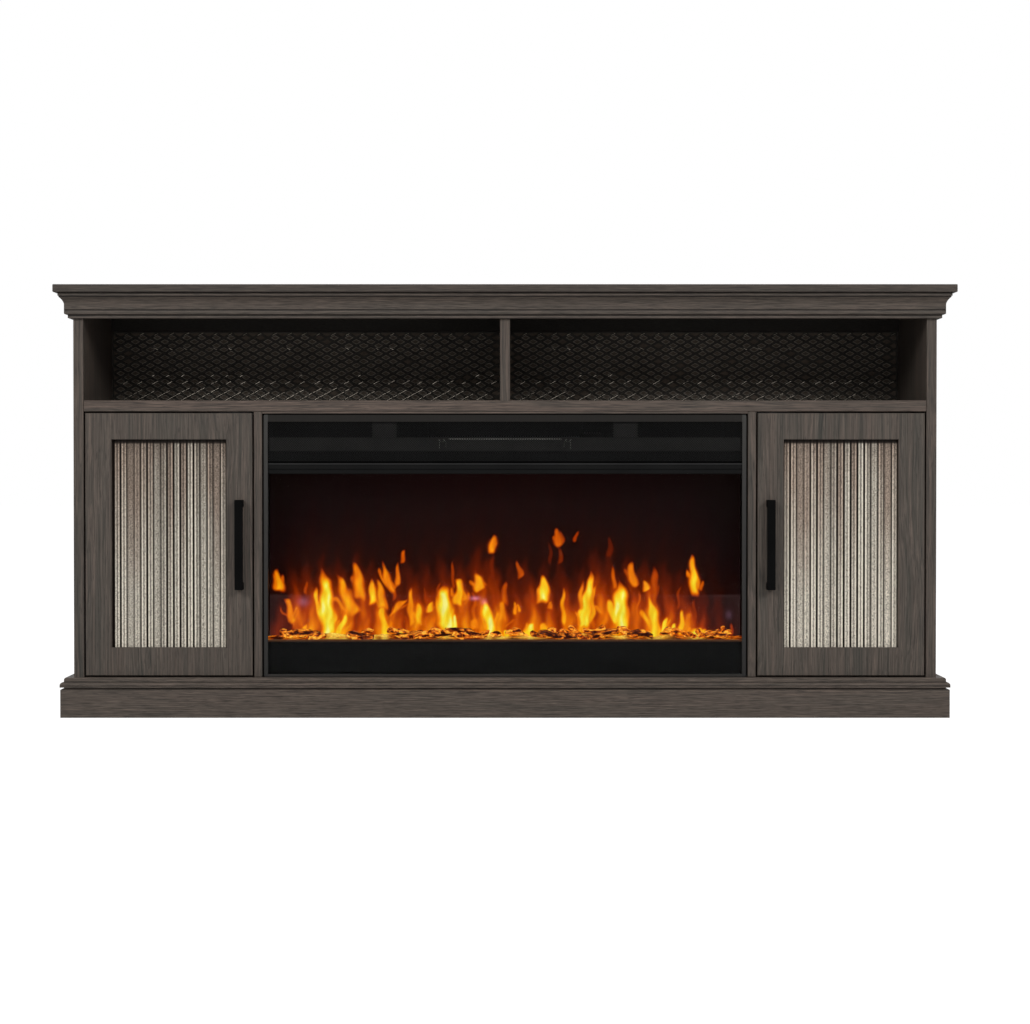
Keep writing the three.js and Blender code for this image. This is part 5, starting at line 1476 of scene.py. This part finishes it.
class STAND_OT_embers(bpy.types.Operator):
    """Makes the glowing bed and lays charred chips and logs on it"""

    bl_idname = "stand.embers"
    bl_label = "Embers"

    def execute(self, context):
        ember_surface()
        low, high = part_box("ember_bed")
        chance = random.Random(SEED)
        dark = charred_resin("Ember_log_resin", LOG_STOPS, 8, 1.0)
        glowing = charred_resin("Ember_chip_resin", CHIP_STOPS, 7, 1.05)
        for i, (column, length) in enumerate(LOGS):
            y = low.y + chance.uniform(16, 34) * MM
            reach = (y - CAMERA_Y) / FOCAL_PIXELS
            x = (column - CENTRE_COLUMN) * reach
            turn = Vector((0, chance.uniform(-0.16, 0.16), chance.uniform(-0.3, 0.3)))
            place = Vector((x, y, bed_height(x, y, low, high) + 7 * MM))
            charred_chip(f"ember_log_{i}", place, length * reach, LOG_RADIUS, turn, i * 1.7, dark)
        for i in range(context.scene.stand_fire.chips):
            share = (i + chance.uniform(0.1, 0.9)) / context.scene.stand_fire.chips
            x = low.x + CHIP_INSET + (high.x - low.x - 2 * CHIP_INSET) * share
            y = chance.uniform(low.y + 9 * MM, high.y - 14 * MM)
            turn = Vector((0, chance.uniform(-0.4, 0.4), chance.uniform(-0.9, 0.9)))
            if flame_light(x, y) > 0.6:
                continue
            z = bed_height(x, y, low, high) + chance.uniform(4, 8) * MM
            size = chance.uniform(5.5, 9.5) * MM
            length = size * chance.uniform(3.2, 5)
            charred_chip(f"ember_chip_{i}", Vector((x, y, z)), length, size, turn, i * 0.9 + 20, glowing)
        return {"FINISHED"}


def louvre_hoods():
    """Pressed hoods over the louvres of the housing's back, open below."""
    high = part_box("insert_housing")[1]
    back_y = high.y - GLAND_LENGTH
    wide, tall, pitch_x, pitch_z = 72 * MM, 7 * MM, 98 * MM, 12 * MM
    first_top = high.z - 20.2 * MM
    vertices, faces = [], []
    reach, sheet = 5 * MM, 0.8 * MM
    for column in range(5):
        x = (column - 2) * pitch_x
        for row in range(6):
            top = first_top - row * pitch_z
            angles = [i * math.pi / 12 for i in range(7)]
            outer = [(back_y + reach * math.sin(a), top - tall * (1 - math.cos(a))) for a in angles]
            inner = [(y - sheet, z - sheet * 0.6) for y, z in reversed(outer[1:])]
            outline = outer + inner + [(back_y, top - sheet * 1.6)]
            more, more_faces = extruded(outline, x - wide / 2, x + wide / 2)
            base = len(vertices)
            vertices += more
            faces += [tuple(base + i for i in face) for face in more_faces]
    finish = finish_of("housing_black")
    new_piece("insert_louvre_hoods", vertices, faces, finish, "cabinet", 40)


class STAND_OT_works(bpy.types.Operator):
    """Dresses the housing, the reflector and the fan heater"""

    bl_idname = "stand.works"
    bl_label = "Fire's works"

    def execute(self, context):
        dress("housing_black", "insert_housing")
        louvre_hoods()
        dress("zinc", "flame_reflector", "blower_wheel")
        dress("housing_black", "blower_housing")
        dress("steel", "reflector_motor")
        dress("plastic", "blower_motor", "lamp_board")
        dress("ceramic", "heater_element")
        return {"FINISHED"}


# Stage

# Half the floor's width in metres, the even light of the white surroundings, and the right softbox's place,
# aim and size in metres and its watts. The left one mirrors it.
FLOOR_HALF = 30
AMBIENT = 0.2
SOFTBOX_PLACE = (3.6, -6.0, 3.5)
SOFTBOX_AIM = (0.3, 0, 0.4)
SOFTBOX_SIZE = (2.6, 2.0)
SOFTBOX_WATTS = 180


def softbox(name, side):
    """A large soft lamp in front of one end of the stand, turned towards it."""
    data = bpy.data.lights.new(name, "AREA")
    data.shape = "RECTANGLE"
    data.size, data.size_y = SOFTBOX_SIZE
    data.energy = SOFTBOX_WATTS
    place, aim = (Vector((side * x, y, z)) for x, y, z in (SOFTBOX_PLACE, SOFTBOX_AIM))
    lamp = bpy.data.objects.new(name, data)
    lamp.location = place
    lamp.rotation_euler = (aim - place).to_track_quat("-Z", "Y").to_euler()
    bpy.context.scene.collection.objects.link(lamp)


def studio_world(ambient):
    """White to the camera, in reflections and through glass, and a soft even light on the object."""
    world = bpy.data.worlds.new("Studio")
    world.use_nodes = True
    tree = world.node_tree
    path = add_node(tree, "LightPath").node.outputs
    seen = add_node(tree, "Math", (path["Is Camera Ray"], path["Is Glossy Ray"]), operation="MAXIMUM")
    seen = add_node(tree, "Math", (seen, path["Is Transmission Ray"]), operation="MAXIMUM")
    soft, white = (add_node(tree, "Background", ((1, 1, 1, 1), strength)) for strength in (ambient, 1.0))
    mixed = add_node(tree, "MixShader", (seen, soft, white))
    tree.links.new(mixed, tree.nodes["World Output"].inputs["Surface"])
    bpy.context.scene.world = world


class STAND_OT_stage(bpy.types.Operator):
    """Sets the floor, the studio light and the camera"""

    bl_idname = "stand.stage"
    bl_label = "Stage"

    def execute(self, context):
        corners = [(x * FLOOR_HALF, y * FLOOR_HALF, 0) for x, y in ((-1, -1), (1, -1), (1, 1), (-1, 1))]
        mesh = bpy.data.meshes.new("studio_floor")
        mesh.from_pydata(corners, [], [(0, 1, 2, 3)])
        mesh.materials.append(studio_floor("Studio_floor_white"))
        floor = bpy.data.objects.new("studio_floor", mesh)
        context.scene.collection.objects.link(floor)
        studio_world(AMBIENT)
        for end, side in SIDES.items():
            softbox(f"softbox_{end}", side)
        camera_data = bpy.data.cameras.new("camera")
        camera_data.sensor_width = SENSOR_MM
        camera_data.lens = FOCAL_PIXELS * SENSOR_MM / PHOTO_WIDTH
        camera_data.shift_x = (PHOTO_WIDTH / 2 - CENTRE_COLUMN) / PHOTO_WIDTH
        camera = bpy.data.objects.new("camera", camera_data)
        camera.location = (0, CAMERA_Y, CAMERA_Z)
        camera.rotation_euler = (math.pi / 2 - CAMERA_TILT, 0, 0)
        context.scene.collection.objects.link(camera)
        context.scene.camera = camera
        context.scene.view_settings.view_transform = "Standard"
        return {"FINISHED"}


OPERATORS = (
    STAND_OT_stage,
    STAND_OT_boards,
    STAND_OT_back_screws,
    STAND_OT_media_mesh,
    STAND_OT_doors,
    STAND_OT_hinges,
    STAND_OT_insert_front,
    STAND_OT_flames,
    STAND_OT_embers,
    STAND_OT_works,
)


class STAND_PT_panel(bpy.types.Panel):
    """Lists the settings and the steps that make the stand"""

    bl_idname = "STAND_PT_panel"
    bl_label = "Fireplace stand"
    bl_space_type = "VIEW_3D"
    bl_region_type = "UI"
    bl_category = "Fireplace stand"

    def draw(self, context):
        for group_name, group in SETTINGS.items():
            settings = getattr(context.scene, group_name)
            column = self.layout.column()
            for prop in group.__annotations__:
                column.prop(settings, prop)
        for operator in OPERATORS:
            self.layout.operator(operator.bl_idname)


def register():
    for cls in (*SETTINGS.values(), *OPERATORS, STAND_PT_panel):
        bpy.utils.register_class(cls)
    for group_name, group in SETTINGS.items():
        setattr(bpy.types.Scene, group_name, PointerProperty(type=group))


def unregister():
    for group_name in SETTINGS:
        delattr(bpy.types.Scene, group_name)
    for cls in reversed((*SETTINGS.values(), *OPERATORS, STAND_PT_panel)):
        bpy.utils.unregister_class(cls)


def main():
    register()
    for operator in OPERATORS:
        group, name = operator.bl_idname.split(".")
        getattr(getattr(bpy.ops, group), name)()


if __name__ == "__main__":
    main()
